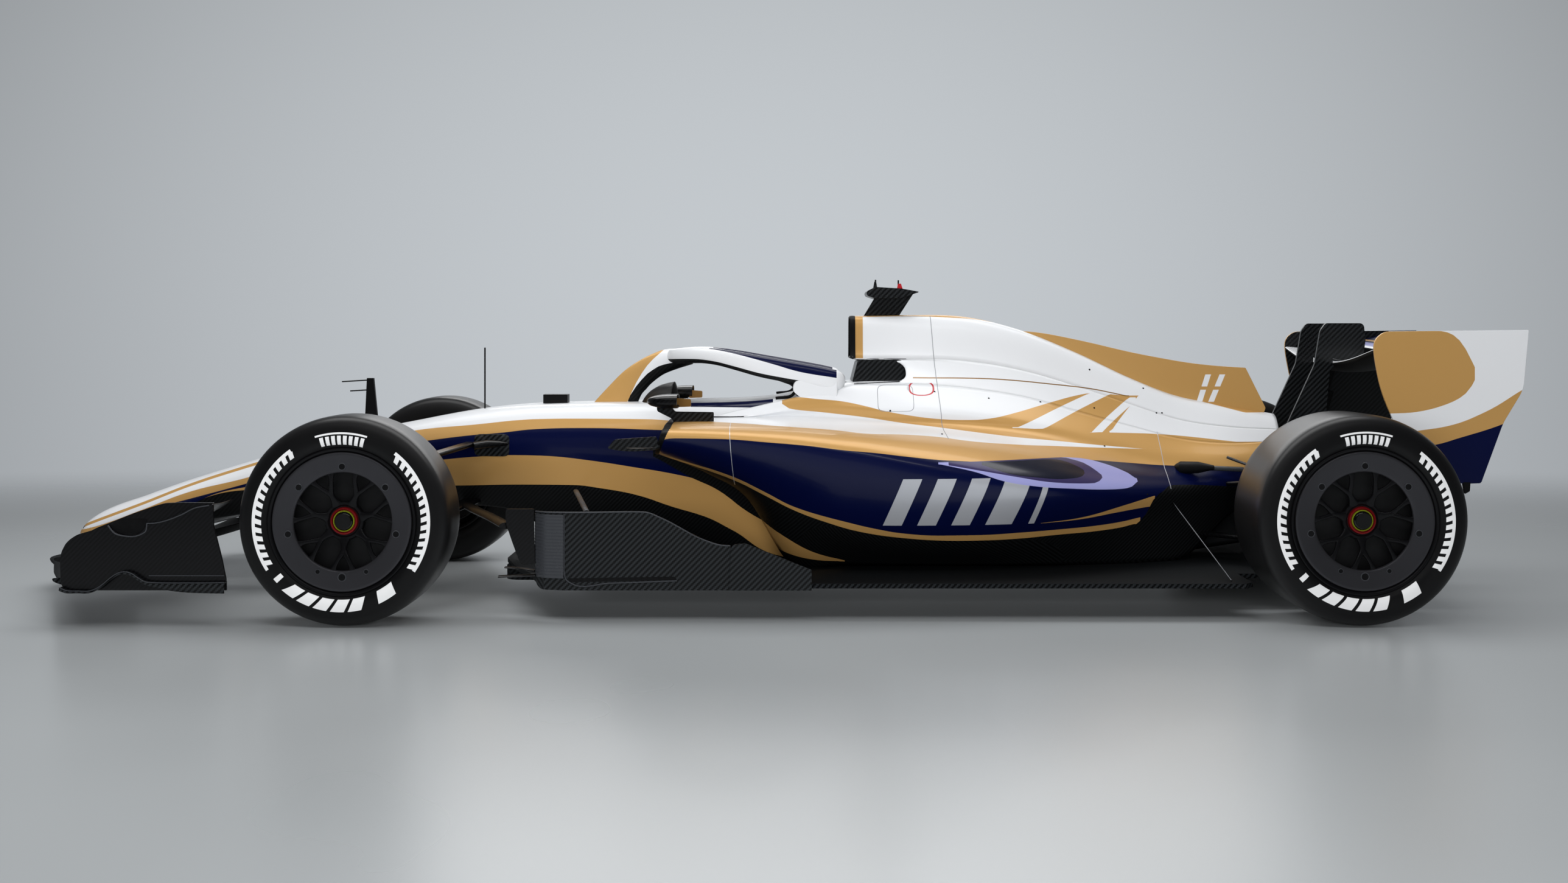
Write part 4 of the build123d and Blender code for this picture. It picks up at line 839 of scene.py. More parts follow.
# ---------------------------------------------------------------------------------------
# Nose and survival cell
# ---------------------------------------------------------------------------------------
# Columns: x, bottom half width, bottom z, waist half width, waist z, top half width, top z
NOSE = np.array([
    (-2630, 62, 194, 70, 207, 50, 222),
    (-2560, 80, 204, 94, 238, 66, 274),
    (-2341, 84, 232, 118, 310, 76, 364),
    (-1946, 92, 292, 146, 420, 92, 492),
    (-1560, 105, 352, 168, 500, 105, 598),
], float)
CELL = np.array([
    (-1560, 105, 352, 168, 500, 105, 598),
    (-1378, 112, 336, 200, 520, 120, 633),
    (-1070, 120, 322, 232, 560, 150, 688),
    (-960, 130, 310, 242, 570, 165, 700),
    (-640, 150, 130, 268, 580, 200, 713),
    (-300, 205, 127, 295, 560, 232, 718),
    (60, 235, 127, 302, 560, 245, 735),
    (330, 240, 127, 305, 600, 220, 792),
    (559, 240, 127, 305, 620, 215, 799),
], float)
CELL_ROUNDING = (24, 100, 56)  # mm, at foot, waist and top
MOUTH_FRONT, MOUTH_REAR, MOUTH_HALF = -455.0, 335.0, 226.0  # the cockpit's mouth and its half width
MOUTH_WIDE = (-215, 255)  # the stations between which it has its full width
MOUTH_POWER = 2.4


def mouth_half(x):
    """Half width of the cockpit's mouth: a superellipse in plan in front, and behind it the full
    width less a tenth of the way and nine tenths of the eighth power of the way to its end."""
    ahead = np.clip((MOUTH_WIDE[0] - x) / (MOUTH_WIDE[0] - MOUTH_FRONT), 0, 1)
    behind = np.clip((x - MOUTH_WIDE[1]) / (MOUTH_REAR - MOUTH_WIDE[1]), 0, 1)
    front = (1 - ahead**MOUTH_POWER) ** (1 / MOUTH_POWER)
    inside = (x > MOUTH_FRONT) & (x < MOUTH_REAR)
    return np.where(inside, MOUTH_HALF * front * (1 - 0.1 * behind - 0.9 * behind**8), 0)


UPPER_PART = 0.6  # share of a section's points that lie below the mouth
TIP_LENGTH = 62  # mm, over which the nose's tip rounds off


def hull(table, x, rounding, opening=None, tip=0.0):
    """Half of a closed body. Each column of the table runs smoothly along the car, and a section is
    the softened line from the middle of its bottom to the middle of its top. Over the opening its
    points come no nearer to the middle than the mouth. Near the tip the sections shrink as a
    quarter ellipse does."""
    low_y, low_z, waist_y, waist_z, top_y, top_z = through(table[:, 0], table[:, 1:], x).T
    nil = 0 * x
    corners = np.stack([
        np.stack([nil, low_y, waist_y, top_y, nil], axis=-1),
        np.stack([low_z, low_z, waist_z, top_z, top_z], axis=-1),
    ], axis=-1)
    section = softened(corners, rounding, arc=9, straight=3)
    if tip:
        middle = np.stack([nil, (low_z + top_z) / 2], axis=-1)[:, None]
        part = np.clip((x - x[0]) / tip, 0, 1)
        swell = np.sqrt(1 - (1 - part) ** 2)[:, None, None]
        section = middle + (section - middle) * swell
    y, z = section[..., 0], section[..., 1]
    if opening is not None:
        upper = np.arange(y.shape[1]) > y.shape[1] * UPPER_PART
        y = np.where(upper, np.maximum(y, opening(x)[:, None]), y)
    return np.stack([x[:, None] + 0 * y, y, z], axis=-1)


# Stations are closer together at the nose's tip and at the two ends of the mouth.
nose_x = np.concatenate([
    NOSE[0, 0] + 70 * np.linspace(0, 1, 14) ** 2, np.linspace(-2545, NOSE_SEAM[0], 60)
])
cell_x = np.unique(np.concatenate([
    np.linspace(NOSE_SEAM[1], CELL[-1, 0], 130), MOUTH_FRONT + 90 * np.linspace(0, 1, 16) ** 2,
    MOUTH_REAR - 60 * np.linspace(0, 1, 14) ** 2
]))
# The nose's corners are softened over shares of its height.
nose_height = through(NOSE[:, 0], NOSE[:, 6] - NOSE[:, 2], nose_x)[:, None]
piece("nose_shell", mirrored(hull(NOSE, nose_x, nose_height * [0.1, 0.42, 0.24], tip=TIP_LENGTH)),
      CELL_PAINT, slot="body_paint", stands_for=("nose_cone",))
piece("cell_shell", mirrored(hull(CELL, cell_x, CELL_ROUNDING, mouth_half)), [CELL_PAINT, LINING_PAINT],
      slot="body_paint", stands_for=("survival_cell",), wall=18, inner=1)

# ---------------------------------------------------------------------------------------
# Side pods and engine cover
# ---------------------------------------------------------------------------------------
# Columns: x, then y and z of foot, belly, waist, shoulder, valley, flank, ledge, neck, crown and
# spine, from the floor's edge of the pod up and over to the middle of the spine.
COVER = np.array([
    (-344, 345, 548, 560, 548, 700, 600, 672, 652, 330, 664, 290, 664, 270, 660, 250, 655, 200, 650, 0, 650),
    (-200, 345, 470, 580, 503, 722, 590, 684, 652, 330, 666, 290, 668, 270, 668, 250, 664, 200, 660, 0, 660),
    (-50, 350, 380, 598, 447, 738, 575, 690, 648, 330, 668, 290, 672, 270, 700, 250, 700, 200, 700, 0, 700),
    (120, 360, 128, 606, 360, 748, 552, 686, 640, 325, 664, 298, 700, 285, 740, 240, 760, 200, 760, 0, 760),
    (300, 365, 128, 604, 297, 752, 522, 676, 624, 322, 652, 297, 712, 262, 778, 130, 884, 80, 1036, 0, 1047),
    (352, 365, 128, 598, 284, 751, 515, 670, 620, 321, 650, 296, 710, 240, 790, 100, 883, 72, 1030, 0, 1047),
    (450, 365, 128, 590, 264, 748, 500, 655, 610, 320, 645, 294, 705, 225, 790, 106, 883, 74, 1030, 0, 1048),
    (560, 365, 128, 580, 252, 738, 484, 632, 598, 318, 640, 290, 700, 205, 790, 118, 883, 72, 1032, 0, 1050),
    (800, 365, 128, 548, 244, 700, 452, 575, 566, 312, 622, 268, 684, 180, 772, 112, 872, 66, 1020, 0, 1042),
    (1000, 355, 128, 500, 251, 640, 430, 508, 530, 298, 596, 245, 655, 162, 740, 100, 838, 56, 972, 0, 994),
    (1220, 320, 128, 420, 262, 515, 408, 418, 482, 268, 550, 212, 606, 140, 680, 84, 774, 46, 886, 0, 907),
    (1430, 262, 128, 320, 290, 372, 392, 318, 446, 228, 496, 184, 548, 122, 622, 76, 704, 40, 792, 0, 808),
    (1600, 190, 140, 236, 310, 268, 396, 240, 434, 196, 472, 164, 518, 112, 580, 72, 650, 36, 724, 0, 742),
    (1800, 120, 300, 160, 360, 190, 412, 182, 450, 170, 476, 148, 512, 104, 562, 68, 620, 34, 684, 0, 702),
    (1990, 100, 390, 124, 402, 142, 440, 140, 476, 134, 500, 120, 530, 92, 570, 64, 610, 32, 650, 0, 667),
], float)
LEDGE, NECK, SPINE = 6, 7, 9  # numbers of the columns between which the cover is split
INTAKE_X = 352.0  # the station of the intake over the driver's head


def cover(x, v):
    """The cover's surface. Each column runs smoothly along the car, and at each station the section
    runs smoothly through the columns, v counting them from 0 at the foot to 9 at the spine."""
    points = COVER[:, 1:].reshape(len(COVER), -1, 2)
    columns = through(COVER[:, 0], points, x)
    section = across(np.arange(points.shape[1], dtype=float), columns, v)
    section[..., 0] = np.where(v >= SPINE - TINY, 0, np.maximum(section[..., 0], 0))
    return np.concatenate([x[..., None], section], axis=-1)


def cover_sheet(first, last, start, rows, columns):
    """The part of the cover between two columns, from a start that may differ for each column."""
    v = np.linspace(first, last, columns)[None, :]
    u = np.linspace(0, 1, rows)[:, None]
    begin = start(np.clip((v - first) / (last - first), 0, 1))
    return cover(begin + (COVER[-1, 0] - begin) * u, v + 0 * u)


def mouth_x(v):
    """The front edge of the pod, which leans back from the foot to the shoulder."""
    return -356 + 38 * np.clip((v - 1) / 2, 0, 1)


def notch(share):
    """Where the cover starts between ledge and neck, round the end of the black opening: a cubic
    arch whose feet run forward over the last hundredths of the width."""
    off, feet_from = np.abs(2 * share - 1), 0.93
    return 552 - 52 * off**3 - 148 * np.clip(off - feet_from, 0, 1) / (1 - feet_from)


sheets = [
    cover_sheet(0, LEDGE, lambda share: mouth_x(share * LEDGE), 170, 49),
    cover_sheet(LEDGE, NECK, notch, 110, 15),
    cover_sheet(NECK, SPINE, lambda share: INTAKE_X + 0 * share, 120, 17),
]
piece("cover_shell", [half for sheet in sheets for half in mirrored(sheet)], [COVER_PAINT, DULL_CARBON],
      slot="body_paint", stands_for=("engine_cover", "sidepods"), wall=4, inner=1)

fin_outline = [
    (940, 990), (1070, 986), (1259, 948), (1435, 905), (1646, 866), (1763, 853), (1879, 846), (1957, 690),
    (1940, 650), (1500, 730), (1150, 890),
]
edge, faces = panel(fin_outline, -4, 4, [20, 80, 80, 80, 80, 60, 4, 6, 20, 60, 60])
piece("spine_fin", edge, FIN_PAINT, slot="body_paint", plates=faces, bevel=1.6)


def duct(loop, middle, steps):
    """A duct's lip and walls: in each row the loop is drawn towards its middle by a share and moved
    aft, and the last row is drawn onto its own middle."""
    rows = [middle + (loop - middle) * [1, share, share] + [shift, 0, 0] for share, shift in steps]
    back = np.repeat(rows[-1].mean(axis=0)[None], len(loop), axis=0)
    return np.stack(rows + [back])


def pod_mouth():
    """The frame round the pod's inlet and the duct behind it, from the pod's own front outline."""
    v = np.linspace(0, 4, 41)
    line = cover(mouth_x(v), v)
    loop = np.vstack([line, np.linspace(line[-1], line[0], 9)[1:]])
    return duct(loop, np.array([-330, 510, 605.0]), [
        (1.0, 18), (1.015, 6), (1.012, -6), (0.985, -10), (0.955, -4), (0.945, 8), (0.90, 60), (0.72, 200),
        (0.4, 230)])


piece("pod_mouths", both([pod_mouth()]), SATIN_BLACK)
edge, faces = panel([(-520, 582), (-498, 612), (-352, 622), (-338, 584)], 688, 693, [10, 12, 6, 4])
vane = blade([
    (350, -430, 572, -346, 566, 7), (560, -500, 580, -344, 572, 8), (692, -520, 584, -340, 582, 8)], 24)
piece("inlet_vanes", both([vane] + edge), CARBON, plates=both(faces))


def intake():
    """The lip and the duct over the driver's head, from the cover's own outline at the front."""
    v = np.linspace(NECK, SPINE, 30)
    half = cover(INTAKE_X + 0 * v, v)
    loop = np.concatenate([half, (half * [1, -1, 1])[::-1]])
    loop = np.vstack([loop, loop[:1]])
    return duct(loop, np.array([INTAKE_X, 0, 966.0]), [
        (1.0, 12), (1.012, 2), (1.0, -6), (0.95, -9), (0.9, -4), (0.86, 6), (0.8, 60), (0.62, 170)])


def duct_floor():
    """The strip that closes the air duct from below, between the two necks."""
    x = np.linspace(INTAKE_X, 556, 24)[:, None]
    edge = cover(x, NECK + 0 * x)
    return np.concatenate([edge, edge * [1, 0, 1], edge * [1, -1, 1]], axis=1)


piece("intake_lip", [intake()], SATIN_BLACK)
piece("duct_floor", [duct_floor()], CARBON, wall=2)

# ---------------------------------------------------------------------------------------
# Halo
# ---------------------------------------------------------------------------------------
# Columns: x, y, z, half width, half height of the hoop's section from its apex back
HOOP = np.array([
    (-334, 0, 891, 30, 27), (-322, 44, 892, 30, 28), (-296, 86, 894, 30, 29), (-258, 126, 896, 30, 30),
    (-212, 164, 896, 28, 30), (-155, 200, 890, 26, 31), (-80, 230, 875, 25, 35), (8, 252, 855, 24, 39),
    (99, 263, 838, 24, 40), (190, 268, 822, 24, 40), (255, 268, 809, 24, 40), (290, 262, 801, 20, 38),
    (304, 246, 796, 14, 30), (309, 228, 790, 8, 20),
], float)
PILLAR_FRONT = [
    (-652, 700), (-636, 722), (-587, 775), (-530, 832), (-473, 872), (-416, 901), (-368, 917), (-290, 922)
]
PILLAR_BACK = [
    (-480, 700), (-461, 742), (-443, 763), (-425, 783), (-397, 806), (-368, 824), (-318, 843), (-262, 860)
]


def halo_bow():
    """The hoop: a rounded section carried along the smooth line through its stations."""
    half = HOOP[::-1]
    table = np.vstack([half, (half * [1, -1, 1, 1, 1])[-2::-1]])
    reach = np.concatenate([[0], np.cumsum(np.linalg.norm(np.diff(table[:, :3], axis=0), axis=1))])
    line = through(reach, table, np.linspace(0, reach[-1], 170))
    section = oval(1, 1, 2.4, 36)[None] * line[:, None, 3:]
    return swept(line[:, :3], section, up=(0.16, 0, 1))


def halo_pillar():
    """The blade that carries the hoop's apex. Between its front and its back edge the chord place
    is (1 + cos a) / 2 and the half thickness is a sine, less towards the front. It widens into the
    hoop with the sixth power of the way up."""
    t = np.linspace(0, 1, 50)
    knots = np.linspace(0, 1, len(PILLAR_FRONT))
    back, front = through(knots, PILLAR_BACK, t), through(knots, PILLAR_FRONT, t)
    turn = np.linspace(0, 2 * np.pi, 33)[None, :]
    share = (1 + np.cos(turn)) / 2
    thick = 21 * np.sin(turn) * (1 - 0.4 * share) * (1 + 3.4 * t[:, None] ** 6)
    x = back[:, :1] * (1 - share) + front[:, :1] * share
    z = back[:, 1:] * (1 - share) + front[:, 1:] * share
    return capped(np.stack([x, thick + 0 * x, z], axis=-1))


piece("halo_hoop", [halo_bow(), halo_pillar()], HOOP_PAINT, slot="body_paint", stands_for=("halo",))
edge, faces = panel([(146, 815), (124, 792), (124, 762), (148, 738), (290, 732), (292, 830)], -287, -232, 16)
piece("halo_feet", both(edge), HOOP_PAINT, slot="body_paint", plates=both(faces), bevel=7)
trim = rod([
    (40, 263, 818), (90, 264, 802), (122, 265, 788), (135, 265, 770), (124, 264, 752), (60, 262, 738)], 6)
piece("cockpit_trim", both([trim]), SATIN_BLACK)


COWL_CREST = np.array([(-474, 690), (-440, 742), (-400, 773), (-360, 787), (-334, 792)], float)


def cowl():
    """The dark cowl over the steering wheel: it rises out of the hull as a smooth line along the
    car, and across it is half an ellipse whose feet stand on the rim of the mouth. It is hollow,
    so the wheel turns under it."""
    x = np.linspace(COWL_CREST[0, 0], COWL_CREST[-1, 0], 36)
    crest = through(COWL_CREST[:, 0], COWL_CREST[:, 1], x)[:, None]
    wide = (mouth_half(x) + 16)[:, None]
    foot = through(CELL[:, 0], CELL[:, 6], x)[:, None] - 8
    turn = np.linspace(0, np.pi, 31)[None, :]
    z = foot + (crest - foot) * np.sin(turn)
    return np.stack([x[:, None] + 0 * turn, wide * np.cos(turn), z], axis=-1)


piece("dash_cowl", [cowl()], SATIN_BLACK, wall=2.5)

# ---------------------------------------------------------------------------------------
# Wheels
# ---------------------------------------------------------------------------------------
SPOKES = 7
TYRES = {"front": (280.0, 353.0), "rear": (375.0, 355.0)}  # width and radius in mm


def tyre_profile(width, radius):
    """The closed section of a slick: round shoulders, a lightly crowned tread and a rim-side wall
    that runs in to the bead behind the rim's lip."""
    outer = [(24, 229.5), (20, 240), (11, 252), (2, 264), (0, 284)]
    outer += [(6, radius - 34), (22, radius - 10), (56, radius)]
    back = [(width - inset, r) for inset, r in outer[::-1]]
    inner = [(width - 30, 229.5), (width - 16, 273), (width - 21, radius - 42), (width - 58, radius - 14)]
    inner += [(width - inset, r) for inset, r in inner[::-1]]
    rounding = [3, 6, 8, 12, 24, 24, 20, 44, 44, 20, 24, 24, 12, 8, 6, 3, 3, 20, 20, 30, 30, 20, 20, 3]
    return softened(outer + back + inner, rounding, closed=True, arc=5)


def rim_profile(width):
    """The closed section of the rim: the seat behind the ring, the double lip outside the tyre's
    bead, the bead seats and the inner flange."""
    corners = [
        (52, 168), (22, 169), (22, 210), (27, 217), (27, 222), (19, 225), (18, 229), (21, 232), (12, 236),
        (9, 241), (9, 246), (13, 248), (17, 245), (19, 234), (26, 228.5), (width - 30, 228.5),
        (width - 14, 230), (width - 11, 224), (width - 20, 217), (70, 214), (56, 205), (52, 180),
    ]
    rounding = [2, 3, 5, 3, 3, 3, 2, 2, 3, 3, 2, 2, 3, 3, 3, 6, 2, 2, 6, 20, 8, 8]
    return softened(corners, rounding, closed=True, arc=4)


def turned(shape, angle):
    """A flat outline turned about the origin, clockwise from straight up."""
    c, s = np.cos(angle), np.sin(angle)
    return np.asarray(shape) @ np.array([[c, -s], [s, c]])


# A fork: across, out from the hub, inset, half width, half depth. Its two arms mirror each other.
FORK_STEM = [
    (0, 54, 51, 21, 7), (0, 64, 50, 17, 8), (0, 76, 47, 12, 8), (0, 92, 43, 9.5, 8), (0, 108, 39, 11, 7)
]
FORK_ARM = [
    (0, 92, 43, 8, 7), (5, 107, 39, 8.5, 7), (15, 124, 34, 7.4, 6.5), (24, 141, 31, 7.2, 6),
    (30, 154, 30, 9.5, 6), (34, 168, 30, 16, 6),
]


def forks(centre, side):
    """Seven forked spokes that fall from the ring to the hub, each limb a softened rectangle
    carried along a smooth line."""
    grids = []
    for rows in (FORK_STEM, FORK_ARM, [(-row[0],) + row[1:] for row in FORK_ARM]):
        steps = np.linspace(0, len(rows) - 1, 30)
        across_it, out, inset, half, deep = through(np.arange(len(rows)), np.array(rows, float), steps).T
        section = oval(1, 1, 2.8, 24)[None] * np.stack([half, deep], axis=-1)[:, None]
        limb = swept(np.stack([across_it, inset, out], axis=-1), section, up=(0, -1, 0))
        y = side * (HALF_TRACK - limb[..., 1])
        for number in range(SPOKES):
            flat = turned(limb[..., [0, 2]], np.pi + 2 * np.pi * number / SPOKES)
            grids.append(np.stack([centre[0] + flat[..., 0], y, centre[2] + flat[..., 1]], axis=-1))
    return grids


RING = [(30, 163), (22, 164), (18.5, 171), (9.5, 226), (11, 232), (28, 233)]
RING_ROUNDING = [2, 5, 6, 6, 4, 2]
PORT_RADIUS = 184  # mm from the axle
# Degrees clockwise from straight up, and scale: five ports, two small ones and the valve's.
PORTS = [(0, 1), (51.4, 1), (-51.4, 1), (102.8, 1), (-102.8, 1), (154, 0.7), (-154, 0.7), (180, 1.15)]
PORT_RIM = [(13, 17.6), (12.5, 14.4), (11.4, 13.8), (10.2, 14.3), (9.8, 15.4)]
PORT_DISH = [(10, 14.5), (5, 14.7), (0, 14.7)]


def ports(centre, side):
    """The ring's ports, each a raised rim round a dark dish: profiles of (radius, inset) turned about the
    port's middle. The rims' grey is painted highlight and the black dishes are painted shade for the holes."""
    rims, dishes = [], []
    turn = np.linspace(0, 2 * np.pi, 25)[:, None]
    for angle, scale in PORTS:
        middle = centre[[0, 2]] + turned([(0, PORT_RADIUS)], np.radians(angle))[0]
        for grids, profile in ((rims, PORT_RIM), (dishes, PORT_DISH)):
            size, inset = np.array(profile).T
            x, z = middle[0] + scale * size * np.cos(turn), middle[1] + scale * size * np.sin(turn)
            grids.append(np.stack([x, side * (HALF_TRACK - inset) + 0 * x, z], axis=-1))
    return rims, dishes


HUB_DEPTH = 26  # mm, how far the nut lies behind the ring's face
HUB_RINGS = [  # the hub's cup, the red and the lime ring and the nut's dome, from the outside in
    [(40, 66), (20, 64), (18, 62), (18, 55), (21, 52), (24, 50), (24, 44)],
    [(24, 47), (16, 46), (13, 44.5), (12, 42), (12, 40), (14, 38.5), (18, 37.5), (18, 35)],
    [(18, 36), (12.5, 35.5), (11, 34.5), (11, 33), (13, 31.5)],
    [(14, 32), (9.5, 30.5), (6, 26), (4, 19), (3, 10), (2.8, 0)],
]


BELL = [  # the brake's bell behind the spokes, in stepped rings
    (98, 152), (92, 150), (90, 132), (94, 128), (94, 112), (88, 108), (86, 92), (92, 88), (92, 70), (80, 66),
    (78, 40),
]


def wheel(end, hand, side):
    """One wheel, all of it riding on the body that spins."""
    width, radius = TYRES[end]
    centre = AXLES[f"spin_{end}_{hand}"] * [1, 0, 1]
    rims, dishes = ports(centre, side)
    hub = [revolved(np.asarray(ring) + [HUB_DEPTH, 0], centre, side, 64) for ring in HUB_RINGS]
    ring = softened(RING, RING_ROUNDING, closed=True, arc=5)
    for name, grids, material, slot, more in (
        ("slick", [revolved(tyre_profile(width, radius), centre, side, 128)], RUBBER, "tyre_rubber",
         {"stands_for": (f"{end}_tyre_{hand}",)}),
        ("barrel", [revolved(rim_profile(width), centre, side, 112)], RING_BLACK, "wheel_alloy",
         {"stands_for": (f"{end}_rim_{hand}",)}),
        ("spider", forks(centre, side), WHEEL_BLACK, "wheel_alloy", {}),
        ("ring", [revolved(ring, centre, side, 128)], RING_SATIN, "wheel_alloy", {}),
        ("nut", hub, [WHEEL_BLACK, NUT_RED, NUT_LIME, NUT_BLACK], "wheel_alloy", {"groups": [0, 1, 2, 3]}),
        # The ports' grey rims are painted highlight, their black dishes painted shade.
        ("ports", rims + dishes, [EDGE, SHADE], "wheel_alloy",
         {"groups": [0] * len(rims) + [1] * len(dishes)}),
        ("bell", [revolved(softened(BELL, 2), centre, side, 72)], BRAKE, "wheel_alloy", {}),
    ):
        piece(f"{name}_{end}_{hand}", grids, material, f"wheel_{end}_{hand}", slot, **more)


for end in TYRES:
    wheel(end, "left", -1)
    wheel(end, "right", 1)

# ---------------------------------------------------------------------------------------
# Front wing
# ---------------------------------------------------------------------------------------
FRONT_MAIN = [
    (0, -2741, 112, -2420, 158, 30), (215, -2646, 113, -2360, 159, 29), (430, -2553, 114, -2300, 160, 28),
    (800, -2385, 140, -2160, 184, 24), (914, -2350, 158, -2120, 194, 24),
]
FRONT_FLAPS = [
    [(150, -2430, 186, -2190, 268, 18), (530, -2330, 196, -2070, 284, 20), (914, -2345, 226, -1975, 300, 24)],
    [(170, -2185, 286, -1990, 352, 14), (540, -2080, 296, -1910, 376, 13), (912, -1985, 330, -1812, 410, 12)],
]
edge, faces = panel([(-2600, 112), (-2600, 240), (-2440, 280), (-2440, 130)], 52, 62, 12)
piece("lower_wing", [blade(spread(FRONT_MAIN), 90)] + both(edge), DULL_CARBON,
      plates=both(faces), stands_for=("front_wing",))
piece("upper_wing_flaps", both([blade(rows, 40) for rows in FRONT_FLAPS]), GLOSS_CARBON,
      stands_for=("front_flaps",))

# The outer plate has a dip in its top edge. The flap's end stands behind it.
FRONT_PLATE = [
    (-2300, 124), (-2318, 144), (-2320, 223), (-2316, 251), (-2302, 279), (-2286, 295), (-2262, 310),
    (-2160, 339), (-2141, 321), (-2113, 307), (-2076, 306), (-2048, 318), (-2032, 342), (-2015, 348),
    (-1983, 353), (-1955, 367), (-1918, 386), (-1880, 398), (-1824, 407), (-1810, 414), (-1808, 339),
    (-1780, 228), (-1766, 158), (-1765, 124),
]
FLAP_END = [
    (-2262, 300), (-2200, 332), (-2122, 363), (-2076, 381), (-2006, 405), (-1973, 414), (-1908, 416),
    (-1812, 415), (-1816, 330), (-2240, 250),
]
FOOT = np.array([  # x, z of the footplate's top, z of its outer lip's foot
    (-2314, 136, 126), (-2295, 128, 119), (-2250, 125, 118), (-2216, 125, 118), (-2188, 135, 128),
    (-2169, 148, 140), (-2141, 171, 163), (-2118, 185, 177), (-2095, 189, 181), (-2076, 184, 176),
    (-2048, 166, 157), (-2029, 156, 146), (-2001, 153, 138), (-1960, 152, 129), (-1900, 152, 121),
    (-1830, 152, 118), (-1766, 153, 117),
], float)


def footplate():
    """The plate that stands out from the endplate's foot: level in front, up over a hump and level
    again with a deep outer lip. The lip's edge is turned on a small arc."""
    x = np.linspace(FOOT[0, 0], FOOT[-1, 0], 90)
    top, foot = through(FOOT[:, 0], FOOT[:, 1:], x).T
    rows = [(914, top), (930, top), (940, top - 0.5), (944, top - 2), (946, top - 5), (946.5, foot)]
    return np.stack([np.stack([x, 0 * x + y, z], axis=-1) for y, z in rows])


# Grey rods along the endplate's edges and the footplate's top: painted highlights where those edges catch the
# light.
lines = [
    rod([(-2023, 924, 173), (-1900, 924, 173), (-1772, 924, 173)], 1.6),
    rod([(-2160, 923, 340), (-2137, 924, 314), (-2104, 924, 305), (-2062, 924, 306), (-2034, 924, 322),
         (-2030, 924, 347)], 2.4),
    rod([(-2030, 924, 347), (-2005, 924, 348), (-1958, 924, 359), (-1911, 924, 378), (-1874, 924, 397),
         (-1823, 923, 407)], 2.0),
    rod([(x, 944, z) for x, z in FOOT[:, :2]], 1.6),
]
piece("wing_plate_lines", both(lines), EDGE)
# A black sheet laid in the endplate's dip: painted shade for a hollow the plate doesn't have.
edge, faces = panel([(-2154, 337), (-2136, 312), (-2036, 312), (-2030, 349), (-2037, 362), (-2120, 362)],
                    912, 915.5, 4)
piece("wing_plate_hollow_shade", both(edge), SHADE, plates=both(faces))
edges, faces = panels((FRONT_PLATE, 915, 924, [10, 14] + [9] * 18 + [6, 10, 8, 3]),
                      (FLAP_END, 904, 914, [10] * 7 + [3, 3, 10]))
piece("wing_side_plates", both(edges), GLOSS_CARBON, plates=both(faces),
      stands_for=("front_endplates",), bevel=1.6)
piece("wing_footplates", both([footplate()]), COARSE_CARBON, wall=3,
      stands_for=("front_endplates",))

# ---------------------------------------------------------------------------------------
# Rear wing
# ---------------------------------------------------------------------------------------
REAR_MAIN = [(0, 2176, 862, 2430, 888, 30), (300, 2180, 880, 2430, 900, 28), (529, 2190, 918, 2430, 926, 22)]
REAR_FLAP = [(0, 2424, 912, 2626, 988, 22), (300, 2424, 924, 2626, 988, 20), (523, 2424, 936, 2626, 988, 18)]
piece("high_wing", [blade(spread(REAR_MAIN), 80)], MAIN_BLADE_PAINT, slot="wing_paint",
      stands_for=("rear_wing",))
piece("high_flap", [blade(spread(REAR_FLAP), 80)], FLAP_PAINT, body="flap", slot="wing_paint",
      stands_for=("rear_flap",))

REAR_PLATE = [
    (2189, 905), (2189, 955), (2225, 986), (2741, 992), (2722, 780), (2650, 661), (2571, 446), (2501, 444),
    (2400, 470), (2290, 590), (2262, 661), (2213, 776),
]
edge, faces = panel(REAR_PLATE, 530, 540, [40, 26, 20, 4, 30, 20, 8, 20, 30, 30, 30, 60])
tie = rod([(2450, -528, 560), (2450, 528, 560)], 9)
piece("wing_plates", both(edge) + [tie], [PLATE_PAINT, CARBON], slot="wing_paint", plates=both(faces),
      stands_for=("rear_endplates",), bevel=2, groups=[0, 0, 1, 1, 0, 1, 0])
edges, faces = panels(*(
    ([(front, low + 10), (front + 6, high), (back, high), (back - 30, low)], 508, 528, 8)
    for low, high, front, back in ((846, 930, 2236, 2420), (742, 842, 2252, 2400), (640, 738, 2284, 2390))
))
piece("plate_steps", both(edges), SATIN_BLACK, plates=both(faces), bevel=2)
edge, faces = panel([(2505, 450), (2532, 450), (2530, 418), (2512, 408)], 528, 543, 4)
piece("plate_feet", both(edge), SATIN_BLACK, plates=both(faces), bevel=1.5)

# ---------------------------------------------------------------------------------------
# Boards beside the floor
# ---------------------------------------------------------------------------------------
SLAT_STEP = 11  # mm from slat to slat


def ribbed_strip():
    """The slats on the board's leading strip: the strip follows the board's bend in plan and
    swells outward by a cosine of the height."""
    plan = through([0, 1, 2, 3], [(-659, 801), (-700, 792), (-731, 781), (-764, 743)], np.linspace(0, 3, 20))
    z = np.linspace(146, 362, 200)[:, None, None]
    swell = 1.4 + 1.2 * (0.5 + 0.5 * np.cos(2 * np.pi * z / SLAT_STEP))
    out = plan + swell * [-0.35, 0.94]
    return np.concatenate([out, np.broadcast_to(z, out.shape[:2] + (1,))], axis=-1)


